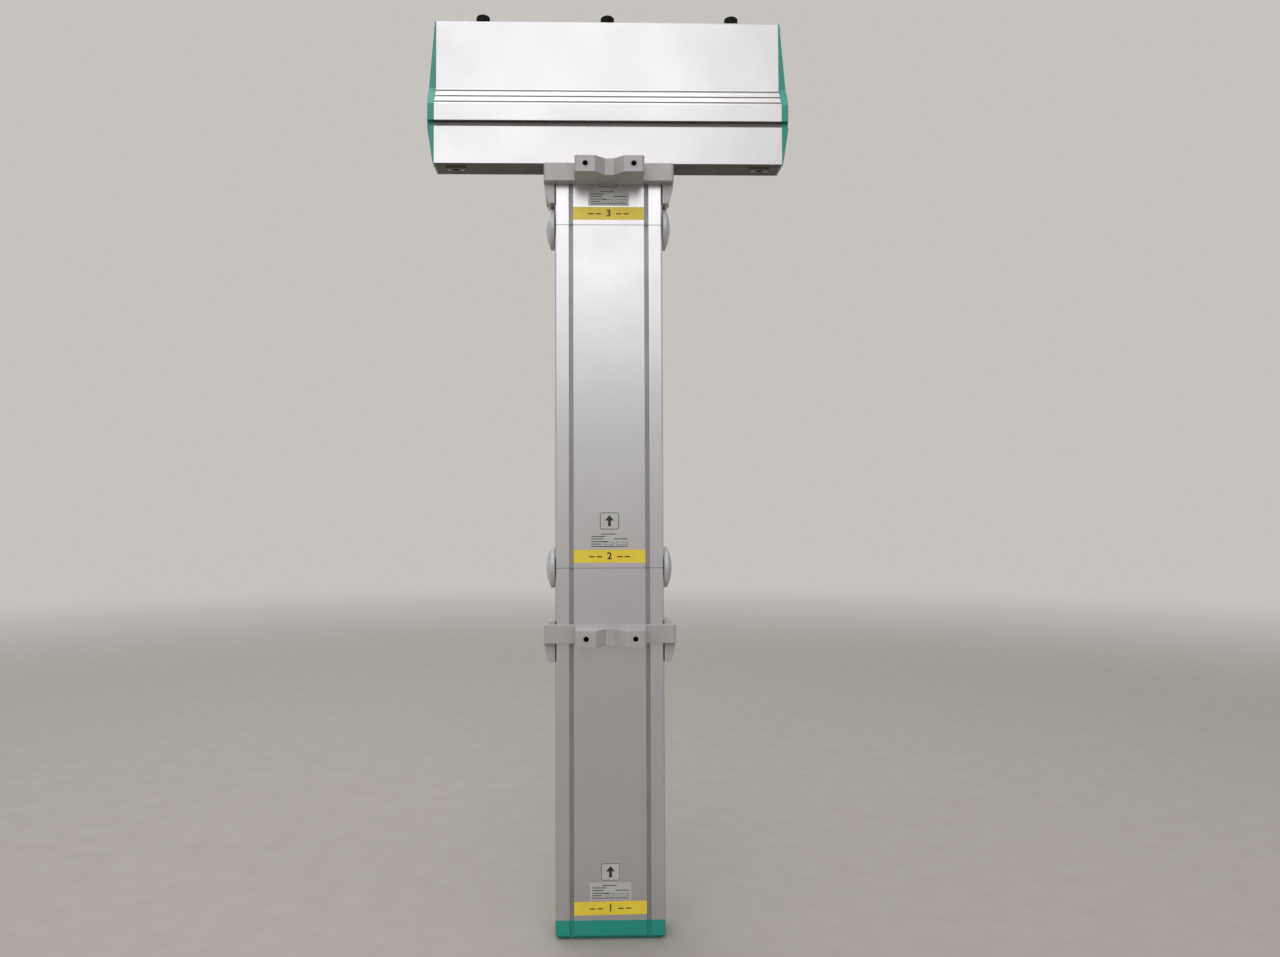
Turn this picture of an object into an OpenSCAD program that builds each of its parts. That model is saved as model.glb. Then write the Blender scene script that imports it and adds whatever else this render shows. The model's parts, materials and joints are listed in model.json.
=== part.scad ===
// Docking column for stacked medical pumps, clamped to a pole at its rear.
// +Z is up, the pole brackets face -Y and the docking side faces +Y.
// The origin is the middle of the lower pole bracket's two tapped holes.

/* [Column] */
// Width of the column across its rear face
column_w = 110; // [108:1:114]
// Depth of the column, rear face to front plate
column_d = 42; // [42:1:46]
// Wall of the column's sides
side_wall = 3; // [2.5:0.5:3]
// Wall of the column's rear face
rear_wall = 4; // [3.5:0.5:4]
// Length of one docking module
module_l = 350; // [348:1:370]
// Height of the green foot cap
foot_h = 15; // [14:1:18]
// Visible length of the short column under the head
stub_l = 62; // [60:1:66]
// Width of the two long grooves in the rear face
groove_w = 4.4; // [3:0.1:5]
// Depth of the two long grooves
groove_d = 1.8; // [1:0.1:2]
// Distance of each groove's middle from the centre line
groove_x = 38.5; // [37:0.5:39]

/* [Head] */
// Length of the head's extrusions
head_w = 356; // [350:1:370]
// Height of the head
head_h = 155; // [152:1:156]
// How far the end caps bulge
cap_bulge = 9; // [8:0.1:9]
// Distance between the thumb screws on top
thumbscrew_pitch = 131; // [125:1:135]
// Width of the display window
window_w = 130; // [110:1:140]
// Height of the display window
window_h = 46; // [40:1:48]

/* [Pole brackets] */
// Distance of the vee block's face from the column's rear face
vee_reach = 39; // [38:1:44]
// Width of the vee at its mouth
vee_w = 29; // [26:1:30]
// Depth of the vee
vee_d = 11; // [8:0.5:12]
// Width of the flat at the bottom of the vee
vee_flat = 9; // [6:1:10]
// Distance between the two tapped holes of a bracket
bolt_pitch = 48; // [47:0.5:50]
// Radius of a tapped hole (M6 core)
bolt_r = 2.5; // [2.5:0.1:2.6]
// Depth of a tapped hole
bolt_depth = 16; // [12:1:18]
// Height of the lower bracket's crossbar middle above the floor
lower_bracket_z = 300; // [290:1:305]
// Height of the upper bracket's crossbar middle above the upper seam
upper_bracket_rise = 51; // [50:0.5:51]

/* [Docking] */
// Number of pump bays in a module
bays = 3; // [3:1:3]
// Distance between bays
bay_pitch = 115; // [114:0.5:115]
// Travel of a release catch
catch_travel = 6; // [4:0.5:6]

/* [Hidden] */
$fn = 64;

// Heights above the floor
seam_1 = foot_h + module_l;
seam_2 = seam_1 + module_l;
head_z = seam_2 + stub_l;
upper_bracket_z = seam_2 + upper_bracket_rise;
stub_top = head_z + 30;

// Column section
inner_x = column_w / 2 - side_wall;
plate_t = 3;
seat_y = column_d - plate_t;
ledge_y = seat_y - 3;
ledge_x = 36;
seat_x = 44;
boss_x = inner_x - 3.2;
boss_y = [8.5, 32];
boss_r = 3.5;
boss_bore_r = 1.65;
corner_r = 2;
slack = 0.2;

// Docking rail and what sits in it
wall_x = 24;
rail_t = 3;
lip_w = 6;
rail_y = column_d + 12;
bay_z0 = 60;
block_dz = 22;
catch_dz = -28;
block_w = 36;
block_h = 24;
catch_w = 15.6;
catch_h = 16;
catch_y = 28;
pocket_y = catch_y - catch_travel - 10;
run_gap = 0.3;
board_t = 1.6;
spring_r = 5.2;
spring_wire_r = 0.7;
spring_rings = 6;
spring_step = 2.88;
board_y = ledge_y - board_t - 1;

// Seam locks
disc_y = 18;
disc_r = 21;
shaft_r = 5;
bush_r = 7.5;
bush_gap = 0.05;
collar_r = 8.8;
collar_offset = 0.8;
lock_hole_r = 10.2;
coupler_x = 44.5;
coupler_low = 42;
coupler_high = 18;
coupler_screw_dz = -34;

// Brackets
bar_half = 66;
bar_h = 18;
bar_t = 11.5;
cheek_low = 29;
cheek_high = 12;
cheek_y = -2;
cheek_depth = 34;
cheek_in = column_w / 2 + slack;
cheek_arc_r = 41;
cheek_mid = (cheek_high - cheek_low) / 2;
cheek_screw_y = 22.5;
cheek_screw_z = [cheek_mid - 12.5, cheek_mid + 12.5];
vee_half = 34.5;
vee_low = -9.5;
vee_high = 6.5;
bolt_z = (vee_low + vee_high) / 2;

// Head section, as (y, z) from the column's rear face and the head's underside
band_y = -4;
upper_y = 10;
groove_low = 38.2;
groove_high = 44.6;
slope_low = 61.5;
slope_high = 83.5;
top_front = 58;
face_y = 70;
skin = 3;
underside_y = 29;
cap_screw_at = [[15.4, head_h - 5.4], [53, head_h - 5.4], [24, 7]];
cap_seat = 0.8;
foot_seat = 6;
foot_low = 4;
rib_z = [64.5, 72.4, 80.3];
window_z = 103;
key_x = 100;
key_r = 8;
thumbscrew_y = 26;
knob_r = 7.2;
knob_h = 13;
knob_dome = 3.2;
socket_x = 157;
socket_y = 10;

silver = [0.80, 0.81, 0.82];
cast_grey = [0.62, 0.63, 0.64];
cap_green = [0.16, 0.55, 0.46];
near_black = [0.07, 0.07, 0.08];
board_green = [0.10, 0.36, 0.20];
steel = [0.70, 0.70, 0.72];

function bay_mid(z0, i) = z0 + bay_z0 + i * bay_pitch;
function catch_base(n) = n <= bays ? foot_h : seam_1;
function catch_z(n) = bay_mid(catch_base(n), (n - 1) % bays) + catch_dz;
function slope_y(z) = band_y + (upper_y - band_y) * (z - slope_low) / (slope_high - slope_low);

// ---- helpers -------------------------------------------------------------

// Puts the column's own frame (floor, rear face) into the part's frame
module in_frame() translate([0, vee_reach, -(lower_bracket_z + bolt_z)]) children();

module both_sides() {
    children();
    mirror([1, 0, 0]) children();
}

module box(low, high) translate(low) cube(high - low);

module rounded_rect(low, high, r) {
    size = high - low;
    translate(low + [r, 0]) square(size - [2 * r, 0]);
    translate(low + [0, r]) square(size - [0, 2 * r]);
    for (x = [low[0] + r, high[0] - r], y = [low[1] + r, high[1] - r])
        translate([x, y]) circle(r);
}

// A round bar along X, from x = a to x = b
module bar_x(r, a, b, y, z) translate([a, y, z]) rotate([0, 90, 0]) cylinder(r = r, h = b - a);

// A round bar along Y, from y = a to y = b
module bar_y(r, a, b, x, z) translate([x, a, z]) rotate([-90, 0, 0]) cylinder(r = r, h = b - a);

// An outline drawn as (y, z), extruded along X from a to b
module extrude_x(a, b) translate([a, 0, 0]) rotate([90, 0, 90]) linear_extrude(b - a) children();

// M5 countersunk screw: head top at z = 0, shank down
module csk_screw(l) {
    translate([0, 0, -2.5]) cylinder(r1 = 2.5, r2 = 4.9, h = 2.5);
    translate([0, 0, -l]) cylinder(r = 2.5, h = l - 2.5);
}

module csk_hole(l) {
    translate([0, 0, -2.6]) cylinder(r1 = 2.7, r2 = 5.2, h = 2.6);
    translate([0, 0, -l]) cylinder(r = 2.7, h = l);
    cylinder(r = 5.2, h = 6);
}

// Pan-head screw for a screw channel: head on z = 0, shank down
module pan_screw(l) {
    rotate_extrude() polygon([[0, -l], [1.6, -l], [1.6, 0], [3, 0], [3, 1.4], [2, 2.2], [0, 2.2]]);
}

// ---- column --------------------------------------------------------------

module column_section() {
    difference() {
        union() {
            difference() {
                rounded_rect([-column_w / 2, 0], [column_w / 2, column_d], corner_r);
                translate([-inner_x, rear_wall]) square([2 * inner_x, ledge_y - rear_wall]);
                translate([-ledge_x, ledge_y - 1]) square([2 * ledge_x, 5]);
                translate([-seat_x, seat_y]) square([2 * seat_x, plate_t + 1]);
            }
            for (s = [-1, 1], y = boss_y) translate([s * boss_x, y]) circle(boss_r);
        }
        for (s = [-1, 1], y = boss_y) translate([s * boss_x, y]) circle(boss_bore_r);
        for (s = [-1, 1]) translate([s * groove_x - groove_w / 2, -1]) square([groove_w, groove_d + 1]);
    }
}

// Half-round openings that the seam locks turn in, in both side walls
module lock_openings(z) both_sides()
    bar_x(lock_hole_r, inner_x - 0.5, column_w / 2 + 1, disc_y, z);

module coupler_screw_holes(z) both_sides()
    translate([column_w / 2, disc_y, z + coupler_screw_dz]) rotate([0, 90, 0]) csk_hole(6);

module bracket_holes(z) both_sides()
    for (dz = cheek_screw_z) bar_x(2.7, inner_x - 1, column_w / 2 + 1, cheek_screw_y, z + dz);

module rail_screw_places(z0, count, l) {
    step = (l - 40) / (count - 1);
    for (s = [-1, 1], i = [0 : count - 1])
        translate([s * 40, column_d, z0 + 20 + i * step]) rotate([-90, 0, 0]) children();
}

module profile(z0, l, screw_count) {
    color(silver) difference() {
        translate([0, 0, z0]) linear_extrude(l) column_section();
        rail_screw_places(z0, screw_count, l) translate([0, 0, -8]) cylinder(r = 1.6, h = 9);
        children();
    }
}

module lower_profile() in_frame() profile(foot_h, module_l, 5) {
    lock_openings(seam_1);
    coupler_screw_holes(seam_1);
    bracket_holes(lower_bracket_z);
}

module upper_profile() in_frame() profile(seam_1, module_l, 5) {
    lock_openings(seam_1);
    lock_openings(seam_2);
    coupler_screw_holes(seam_2);
}

module stub_profile() in_frame() profile(seam_2, stub_top - seam_2, 2) {
    lock_openings(seam_2);
    bracket_holes(upper_bracket_z);
}

module stub_front_cover() in_frame() color(silver) difference() {
    box([-seat_x + slack, seat_y, seam_2 + slack], [seat_x - slack, column_d, head_z + 14]);
    rail_screw_places(seam_2, 2, stub_top - seam_2) translate([0, 0, -4]) cylinder(r = 1.7, h = 5);
}

// Foot cap with its plug, an arched underside and counterbored screw holes
module foot_cap() in_frame() color(cap_green) difference() {
    intersection() {
        union() {
            translate([0, 0, -foot_low]) linear_extrude(foot_h + foot_low) difference() {
                union() {
                    rounded_rect([-column_w / 2, 0], [column_w / 2, column_d], corner_r);
                    rounded_rect([-wall_x - 12, column_d - 6], [wall_x + 12, rail_y + 1], corner_r);
                }
                for (s = [-1, 1])
                    translate([s * groove_x - groove_w / 2, -1]) square([groove_w, groove_d + 1]);
            }
            box([-40, rear_wall + 1, foot_h - 1], [40, board_y - 2, foot_h + 6]);
        }
        // bevels under the rear edge and both ends
        extrude_x(-column_w / 2 - 1, column_w / 2 + 1) polygon([[foot_low, -foot_low],
            [rail_y + 2, -foot_low], [rail_y + 2, foot_h + 7], [-1, foot_h + 7], [-1, 1]]);
        translate([0, rail_y + 3, 0]) rotate([90, 0, 0]) linear_extrude(rail_y + 5)
            polygon([[foot_low - column_w / 2, -foot_low], [column_w / 2 - foot_low, -foot_low],
                [column_w / 2 + 1, 1], [column_w / 2 + 1, foot_h + 7],
                [-column_w / 2 - 1, foot_h + 7], [-column_w / 2 - 1, 1]]);
    }
    box([-34, rear_wall + 4, foot_h - 4], [34, board_y - 5, foot_h + 7]);
    for (s = [-1, 1], y = boss_y) translate([s * boss_x, y, -foot_low - 1]) {
        cylinder(r = 1.9, h = foot_h + foot_low + 2);
        cylinder(r = 3.4, h = foot_seat + foot_low + 1);
    }
}

// ---- docking rail --------------------------------------------------------

module docking_rail(z0) {
    low = z0 + slack;
    high = z0 + module_l - slack;
    color(silver) difference() {
        union() {
            box([-seat_x + slack, seat_y, low], [seat_x - slack, column_d, high]);
            both_sides() {
                box([wall_x, column_d - 1, low], [wall_x + rail_t, rail_y, high]);
                box([wall_x, rail_y - rail_t, low], [wall_x + rail_t + lip_w, rail_y, high]);
            }
        }
        for (i = [0 : bays - 1]) {
            z = bay_mid(z0, i);
            // gaps in the lips that a pump's hooks pass through
            both_sides() for (dz = [-20, 34])
                box([wall_x + rail_t, rail_y - rail_t - 1, z + dz - 11],
                    [wall_x + 12, rail_y + 1, z + dz + 11]);
            box([-block_w / 2, seat_y - 1, z + block_dz - block_h / 2],
                [block_w / 2, column_d + 1, z + block_dz + block_h / 2]);
            box([-catch_w / 2 - run_gap, seat_y - 1, z + catch_dz - catch_h / 2 - run_gap],
                [catch_w / 2 + run_gap, column_d + 1, z + catch_dz + catch_h / 2 + run_gap]);
        }
        rail_screw_places(z0, 5, module_l) translate([0, 0, -4]) cylinder(r = 1.7, h = 5);
    }
}

module lower_docking_rail() in_frame() docking_rail(foot_h);
module upper_docking_rail() in_frame() docking_rail(seam_1);

module backplane(z0) color(board_green) difference() {
    box([-33, board_y, z0 + 8], [33, board_y + board_t, z0 + module_l - 8]);
    for (i = [0 : bays - 1]) {
        z = bay_mid(z0, i) + catch_dz;
        box([-13, board_y - 1, z - 13], [13, board_y + 3, z + 13]);
    }
}

module lower_backplane() in_frame() backplane(foot_h);
module upper_backplane() in_frame() backplane(seam_1);

module contact_blocks(z0) color(near_black) for (i = [0 : bays - 1]) {
    z = bay_mid(z0, i) + block_dz;
    difference() {
        union() {
            box([-block_w / 2 + slack, board_y + board_t, z - block_h / 2 + slack],
                [block_w / 2 - slack, column_d + 7, z + block_h / 2 - slack]);
            box([-block_w / 2 - 3, board_y + board_t, z - block_h / 2 - 3],
                [block_w / 2 + 3, seat_y - slack, z + block_h / 2 + 3]);
        }
        box([-14, column_d + 4, z - 7], [14, column_d + 8, z + 7]);
    }
}

module lower_contact_blocks() in_frame() contact_blocks(foot_h);
module upper_contact_blocks() in_frame() contact_blocks(seam_1);

module contact_pins() in_frame() color([0.85, 0.68, 0.30])
    for (z0 = [foot_h, seam_1], i = [0 : bays - 1], x = [-10 : 4 : 10]) {
        z = bay_mid(z0, i) + block_dz;
        box([x - 0.8, column_d + 4, z - 4], [x + 0.8, column_d + 6, z + 4]);
    }

// Pockets behind the rail that the release catches slide in
module catch_guides() in_frame() color(near_black)
    for (n = [1 : 2 * bays]) {
        z = catch_z(n);
        difference() {
            box([-12, pocket_y - 2, z - 12], [12, seat_y - slack, z + 12]);
            box([-catch_w / 2 - run_gap, pocket_y, z - catch_h / 2 - run_gap],
                [catch_w / 2 + run_gap, seat_y + 1, z + catch_h / 2 + run_gap]);
        }
    }

// A catch with a sloped nose, so that a pump pushes it in
module release_catch(n) in_frame() color(cap_green)
    translate([0, 0, catch_z(n)]) extrude_x(-catch_w / 2, catch_w / 2)
        polygon([[catch_y, -8], [rail_y - 1, -8], [rail_y, -7], [rail_y, -3], [column_d + 4, 8],
            [catch_y, 8]]);

// Round-wire coil spring: rings, each joined to the next by a short riser
module catch_spring(n) in_frame() color(steel)
    translate([0, pocket_y + spring_wire_r, catch_z(n)]) rotate([-90, 0, 0])
    for (i = [0 : spring_rings - 1]) {
        translate([0, 0, i * spring_step]) rotate_extrude()
            translate([spring_r, 0]) circle(spring_wire_r, $fn = 16);
        if (i < spring_rings - 1) rotate(180 * i) translate([spring_r, 0, i * spring_step])
            cylinder(r = 0.8 * spring_wire_r, h = spring_step, $fn = 16);
    }

module release_catch_1() release_catch(1);
module release_catch_2() release_catch(2);
module release_catch_3() release_catch(3);
module release_catch_4() release_catch(4);
module release_catch_5() release_catch(5);
module release_catch_6() release_catch(6);
module catch_spring_1() catch_spring(1);
module catch_spring_2() catch_spring(2);
module catch_spring_3() catch_spring(3);
module catch_spring_4() catch_spring(4);
module catch_spring_5() catch_spring(5);
module catch_spring_6() catch_spring(6);

// ---- seam couplers and locks ----------------------------------------------

module coupler(z) color(cast_grey) difference() {
    union() {
        box([-coupler_x, rear_wall + 1, z - coupler_low], [coupler_x, board_y - 0.6, z + coupler_high]);
        both_sides() box([coupler_x - 1, disc_y - 5.5, z - coupler_low],
            [inner_x - slack, disc_y + 6, z - coupler_low + 24]);
    }
    box([-24, rear_wall + 5, z - coupler_low - 1], [24, board_y - 5, z + coupler_high + 1]);
    both_sides() {
        bar_x(bush_r, 32, coupler_x + 1, disc_y, z);
        bar_x(2.5, 34, inner_x + 1, disc_y, z + coupler_screw_dz);
    }
}

module lower_coupler() in_frame() coupler(seam_1);
module upper_coupler() in_frame() coupler(seam_2);

module lock_bushes() in_frame() color([0.72, 0.52, 0.30])
    for (z = [seam_1, seam_2]) both_sides() difference() {
        bar_x(bush_r, 33, coupler_x + 0.6, disc_y, z);
        bar_x(shaft_r + bush_gap, 32, coupler_x + 2, disc_y, z);
    }

// Shaft with the eccentric collar that draws the two modules together
module lock_shaft(z) color(steel) {
    bar_x(shaft_r, 33, inner_x, disc_y, z);
    bar_x(collar_r, inner_x, column_w / 2 + run_gap, disc_y, z + collar_offset);
    bar_x(4, column_w / 2 + run_gap - 1, column_w / 2 + 5, disc_y, z);
}

// Domed disc with a coin slot, pressed onto the shaft
module lock_disc(z) color([0.74, 0.75, 0.76])
    translate([column_w / 2 + run_gap, disc_y, z]) rotate([0, 90, 0]) difference() {
        rotate_extrude($fn = 96) intersection() {
            polygon([[0, 0], [disc_r - 0.8, 0], [disc_r, 0.8], [disc_r, 3.4], [disc_r, 9], [0, 9]]);
            translate([0, 9 - 46]) circle(46, $fn = 180);
        }
        translate([0, 0, -1]) cylinder(r = 4, h = 1 + 5 - run_gap);
        translate([-13, -1.2, 7]) cube([26, 2.4, 4]);
    }

module lock_disc_lower_right() in_frame() lock_disc(seam_1);
module lock_disc_lower_left() in_frame() mirror([1, 0, 0]) lock_disc(seam_1);
module lock_disc_upper_right() in_frame() lock_disc(seam_2);
module lock_disc_upper_left() in_frame() mirror([1, 0, 0]) lock_disc(seam_2);
module lock_shaft_lower_right() in_frame() lock_shaft(seam_1);
module lock_shaft_lower_left() in_frame() mirror([1, 0, 0]) lock_shaft(seam_1);
module lock_shaft_upper_right() in_frame() lock_shaft(seam_2);
module lock_shaft_upper_left() in_frame() mirror([1, 0, 0]) lock_shaft(seam_2);

// ---- pole brackets ---------------------------------------------------------

module vee_notch() translate([0, 0, -30]) linear_extrude(60)
    polygon([[-vee_w / 2, -vee_reach], [-vee_w / 2, -vee_reach - 1], [vee_w / 2, -vee_reach - 1],
        [vee_w / 2, -vee_reach], [vee_flat / 2, -vee_reach + vee_d],
        [-vee_flat / 2, -vee_reach + vee_d]]);

module cheek(high) intersection() {
    box([cheek_in, cheek_y, -cheek_low], [bar_half, cheek_depth, high]);
    translate([bar_half - cheek_arc_r, cheek_y - 1, cheek_mid]) rotate([-90, 0, 0])
        cylinder(r = cheek_arc_r, h = cheek_depth - cheek_y + 2, $fn = 128);
}

// Crossbar with rounded ends, vee block in front and a cheek on each side
module pole_bracket(z, high) color(cast_grey) translate([0, 0, z]) difference() {
    union() {
        translate([0, 0, -bar_h / 2]) linear_extrude(bar_h)
            rounded_rect([-bar_half, -bar_t], [bar_half, -slack], 3);
        // the block's top slopes down from the bar to the front
        intersection() {
            translate([0, 0, vee_low]) linear_extrude(bar_h / 2 - vee_low)
                rounded_rect([-vee_half, -vee_reach], [vee_half, -bar_t + 4], 3);
            extrude_x(-vee_half - 1, vee_half + 1) polygon([[-vee_reach - 1, vee_low - 1],
                [-bar_t + 5, vee_low - 1], [-bar_t + 5, bar_h / 2 - slack],
                [-bar_t, bar_h / 2 - slack], [-vee_reach - 1, vee_high]]);
        }
        both_sides() {
            box([cheek_in, -bar_t + 3, -bar_h / 2], [bar_half - 1, 12, bar_h / 2]);
            cheek(high);
        }
    }
    // hollows that lighten the block, open to the rear of the casting
    both_sides() box([14, -vee_reach + bolt_depth + 4, vee_low + 4], [vee_half - 4, 1, vee_high - 4]);
    vee_notch();
    both_sides() {
        bar_y(bolt_r, -vee_reach - 1, -vee_reach + bolt_depth, bolt_pitch / 2, bolt_z);
        for (dz = cheek_screw_z) translate([bar_half - 2.5, cheek_screw_y, dz]) rotate([0, 90, 0])
            csk_hole(14);
    }
}

module lower_pole_bracket() in_frame() pole_bracket(lower_bracket_z, cheek_high);
module upper_pole_bracket() in_frame() pole_bracket(upper_bracket_z, bar_h / 2);

module bracket_nut_plates() in_frame() color(steel)
    for (z = [lower_bracket_z, upper_bracket_z]) both_sides() difference() {
        box([inner_x - 4.2, cheek_screw_y - 8, z + cheek_screw_z[0] - 6],
            [inner_x - slack, cheek_screw_y + 3, z + cheek_screw_z[1] + 5]);
        for (dz = cheek_screw_z) bar_x(2.5, inner_x - 5, inner_x, cheek_screw_y, z + dz);
    }

// Every M5 countersunk screw: bracket cheeks and seam couplers
module frame_screws() in_frame() color(steel) both_sides() {
    for (z = [lower_bracket_z, upper_bracket_z], dz = cheek_screw_z)
        translate([bar_half - 2.5, cheek_screw_y, z + dz]) rotate([0, 90, 0]) csk_screw(16);
    for (z = [seam_1, seam_2])
        translate([column_w / 2, disc_y, z + coupler_screw_dz]) rotate([0, 90, 0]) csk_screw(19);
}

// ---- head ------------------------------------------------------------------

module rib_slots() for (z = rib_z) translate([slope_y(z), z])
    rotate(atan2(slope_high - slope_low, upper_y - band_y)) square([2.4, 3.2], center = true);

module cap_screw_bores() for (p = cap_screw_at) translate(p) circle(boss_bore_r);

module upper_section() difference() {
    union() {
        polygon([[top_front, head_h - skin], [top_front, head_h], [upper_y + 2, head_h],
            [upper_y, head_h - 2], [upper_y, slope_high], [band_y, slope_low],
            [band_y, groove_high], [band_y + skin, groove_high], [band_y + skin, slope_low - 1],
            [upper_y + skin, slope_high - 1], [upper_y + skin, head_h - skin]]);
        for (i = [0, 1]) translate(cap_screw_at[i]) circle(boss_r + 0.6);
    }
    rib_slots();
    cap_screw_bores();
}

module lower_section() difference() {
    union() {
        polygon([[band_y, 0], [underside_y, 0], [underside_y, skin], [band_y + skin, skin],
            [band_y + skin, groove_low - skin], [4, groove_low - skin], [4, 62], [1, 62],
            [1, groove_low], [band_y, groove_low]]);
        translate(cap_screw_at[2]) circle(boss_r + 0.9);
    }
    cap_screw_bores();
}

module chassis_screw_places(y) for (x = [-95, -70, 70, 95])
    translate([x, y, head_z + 48]) rotate([-90, 0, 0]) children();

module head_upper_profile() in_frame() color(silver) difference() {
    translate([0, 0, head_z]) extrude_x(-head_w / 2, head_w / 2) upper_section();
    for (i = [-1, 0, 1]) translate([i * thumbscrew_pitch, thumbscrew_y, head_z + head_h - 5])
        cylinder(r = 2.8, h = 6);
}

module head_lower_profile() in_frame() color(silver) difference() {
    translate([0, 0, head_z]) extrude_x(-head_w / 2, head_w / 2) lower_section();
    box([-column_w / 2 - slack, band_y + skin, head_z - 1],
        [column_w / 2 + slack, underside_y + 1, stub_top + 1]);
    for (s = [-1, 1]) translate([s * socket_x, socket_y, head_z - 1]) {
        cylinder(r = 4.7, h = 5);
        for (t = [-7, 7]) translate([t, 0, 0]) cylinder(r = 1, h = 5);
    }
    chassis_screw_places(4) translate([0, 0, -4]) cylinder(r = 1.65, h = 5);
}

// Outline of the whole head, seen from its end
module head_outline() difference() {
    polygon([[band_y, 0], [underside_y, 0], [62, 40], [face_y, 62], [face_y, head_h - 4],
        [face_y - 4, head_h], [upper_y + 2, head_h], [upper_y, head_h - 2],
        [upper_y, slope_high], [band_y, slope_low]]);
    translate([band_y - 1, groove_low]) square([6, groove_high - groove_low]);
}

// How far the end cap stands out at each height, as seen from the rear
module cap_front(w, b) polygon([[w - 1, 0], [w + 0.12 * b, 0], [w + 0.78 * b, 38], [w + b, 46],
    [w + b, 65], [w + 0.84 * b, 71], [w + 0.8 * b, 84], [w + 0.13 * b, head_h], [w - 1, head_h]]);

// End cap: stands out most at the band of ribs, and is arched from rear to front
module end_cap() color(cap_green) difference() {
    intersection() {
        translate([0, 0, head_z]) extrude_x(head_w / 2, head_w / 2 + cap_bulge + 1) head_outline();
        translate([0, face_y + 2, head_z]) rotate([90, 0, 0]) linear_extrude(face_y + 8)
            cap_front(head_w / 2, cap_bulge);
        translate([head_w / 2 + cap_bulge - 260, 30, head_z - 1])
            cylinder(r = 260, h = head_h + 2, $fn = 360);
    }
    for (p = cap_screw_at) {
        bar_x(1.8, head_w / 2 - 1, head_w / 2 + 12, p[0], head_z + p[1]);
        bar_x(3.3, head_w / 2 + cap_seat, head_w / 2 + 12, p[0], head_z + p[1]);
    }
}

module head_end_cap_right() in_frame() end_cap();
module head_end_cap_left() in_frame() mirror([1, 0, 0]) end_cap();

module panel_section() polygon([[underside_y + slack, 0.3], [62, 40.3], [face_y, 62],
    [face_y, head_h - 4], [face_y - 4, head_h], [top_front + slack, head_h],
    [top_front + slack, head_h - skin], [face_y - 5, head_h - skin], [face_y - skin, head_h - 6],
    [face_y - skin, 62.6], [59.6, 42], [underside_y + slack, 4.8]]);

module head_front_panel() in_frame() color([0.86, 0.87, 0.87]) difference() {
    union() {
        translate([0, 0, head_z]) extrude_x(-head_w / 2, head_w / 2) panel_section();
        for (x = [-118, 118], z = [80, 130])
            bar_y(3, 55.6, face_y - skin + 0.5, x, head_z + z);
    }
    box([-column_w / 2 - 0.4, 20, head_z - 1], [column_w / 2 + 0.4, column_d + 0.4, head_z + 24]);
    box([-window_w / 2, face_y - 5, head_z + window_z - window_h / 2],
        [window_w / 2, face_y + 1, head_z + window_z + window_h / 2]);
    for (s = [-1, 1]) bar_y(key_r + run_gap, face_y - 5, face_y + 1, s * key_x, head_z + window_z);
}

module display_window() in_frame() color([0.10, 0.12, 0.13]) {
    box([-window_w / 2 + slack, face_y - 3.1, head_z + window_z - window_h / 2 + slack],
        [window_w / 2 - slack, face_y - 0.3, head_z + window_z + window_h / 2 - slack]);
    box([-window_w / 2 - 3, face_y - 5.1, head_z + window_z - window_h / 2 - 3],
        [window_w / 2 + 3, face_y - 3.1, head_z + window_z + window_h / 2 + 3]);
}

module display_module() in_frame() color([0.35, 0.37, 0.40])
    box([-window_w / 2 + 3, 55.6, head_z + window_z - window_h / 2 + 2],
        [window_w / 2 - 3, face_y - 5.3, head_z + window_z + window_h / 2 - 2]);

// Board behind the display, with the switches under the keys
module head_control_board() in_frame() color(board_green) {
    box([-125, 54, head_z + 74], [125, 55.6, head_z + 136]);
    for (s = [-1, 1]) box([s * key_x - 3, 55.6, head_z + window_z - 3],
        [s * key_x + 3, 57.4, head_z + window_z + 3]);
    for (x = [-60, 0, 60]) box([x - 9, 51.5, head_z + 90], [x + 9, 54, head_z + 108]);
}

// Power board on four pillars, with its transformer, capacitors and terminal
module head_power_board() in_frame() color(board_green) translate([-90, 28, head_z + 33]) {
    for (x = [-22, 22], y = [-14, 14]) translate([x, y, 0]) cylinder(r = 2.5, h = 5);
    box([-28, -18, 5], [28, 18, 6.6]);
    box([-20, -12, 6.6], [4, 12, 24]);
    for (x = [12, 22]) translate([x, 0, 6.6]) cylinder(r = 4, h = 14);
    box([8, -16, 6.6], [24, -9, 15]);
}

// Shelf on top of the stub, a rear flange and a plug that fits into the stub
module head_chassis() in_frame() color(steel) difference() {
    union() {
        box([-122, 4.4, stub_top], [122, 48, stub_top + 3]);
        box([-122, 4.2, stub_top], [122, 7.2, head_z + 60]);
        box([-42, 5, head_z - 8], [42, board_y - 0.6, stub_top + 1]);
    }
    box([-34, 9, head_z - 9], [34, board_y - 4, stub_top + 4]);
    for (s = [-1, 1], y = boss_y) translate([s * boss_x, y, stub_top - 1]) cylinder(r = 1.7, h = 5);
    // room for the two rear screw heads
    for (s = [-1, 1]) box([s * boss_x - 4, 4, stub_top + 3], [s * boss_x + 4, 8, head_z + 61]);
    chassis_screw_places(7.2) translate([0, 0, -4]) cylinder(r = 1.65, h = 5);
}

// Round sockets under the head, each with a flange held by two small screws
module accessory_sockets() in_frame() color(near_black) for (s = [-1, 1])
    translate([s * socket_x, socket_y, head_z]) difference() {
        union() {
            translate([0, 0, -1.6]) linear_extrude(1.6) rounded_rect([-10.5, -4.6], [10.5, 4.6], 2);
            cylinder(r = 4.6, h = 15);
        }
        translate([0, 0, -2]) cylinder(r = 3.1, h = 14);
        for (t = [-7, 7]) translate([t, 0, -3]) cylinder(r = 1, h = 6);
    }

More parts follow.
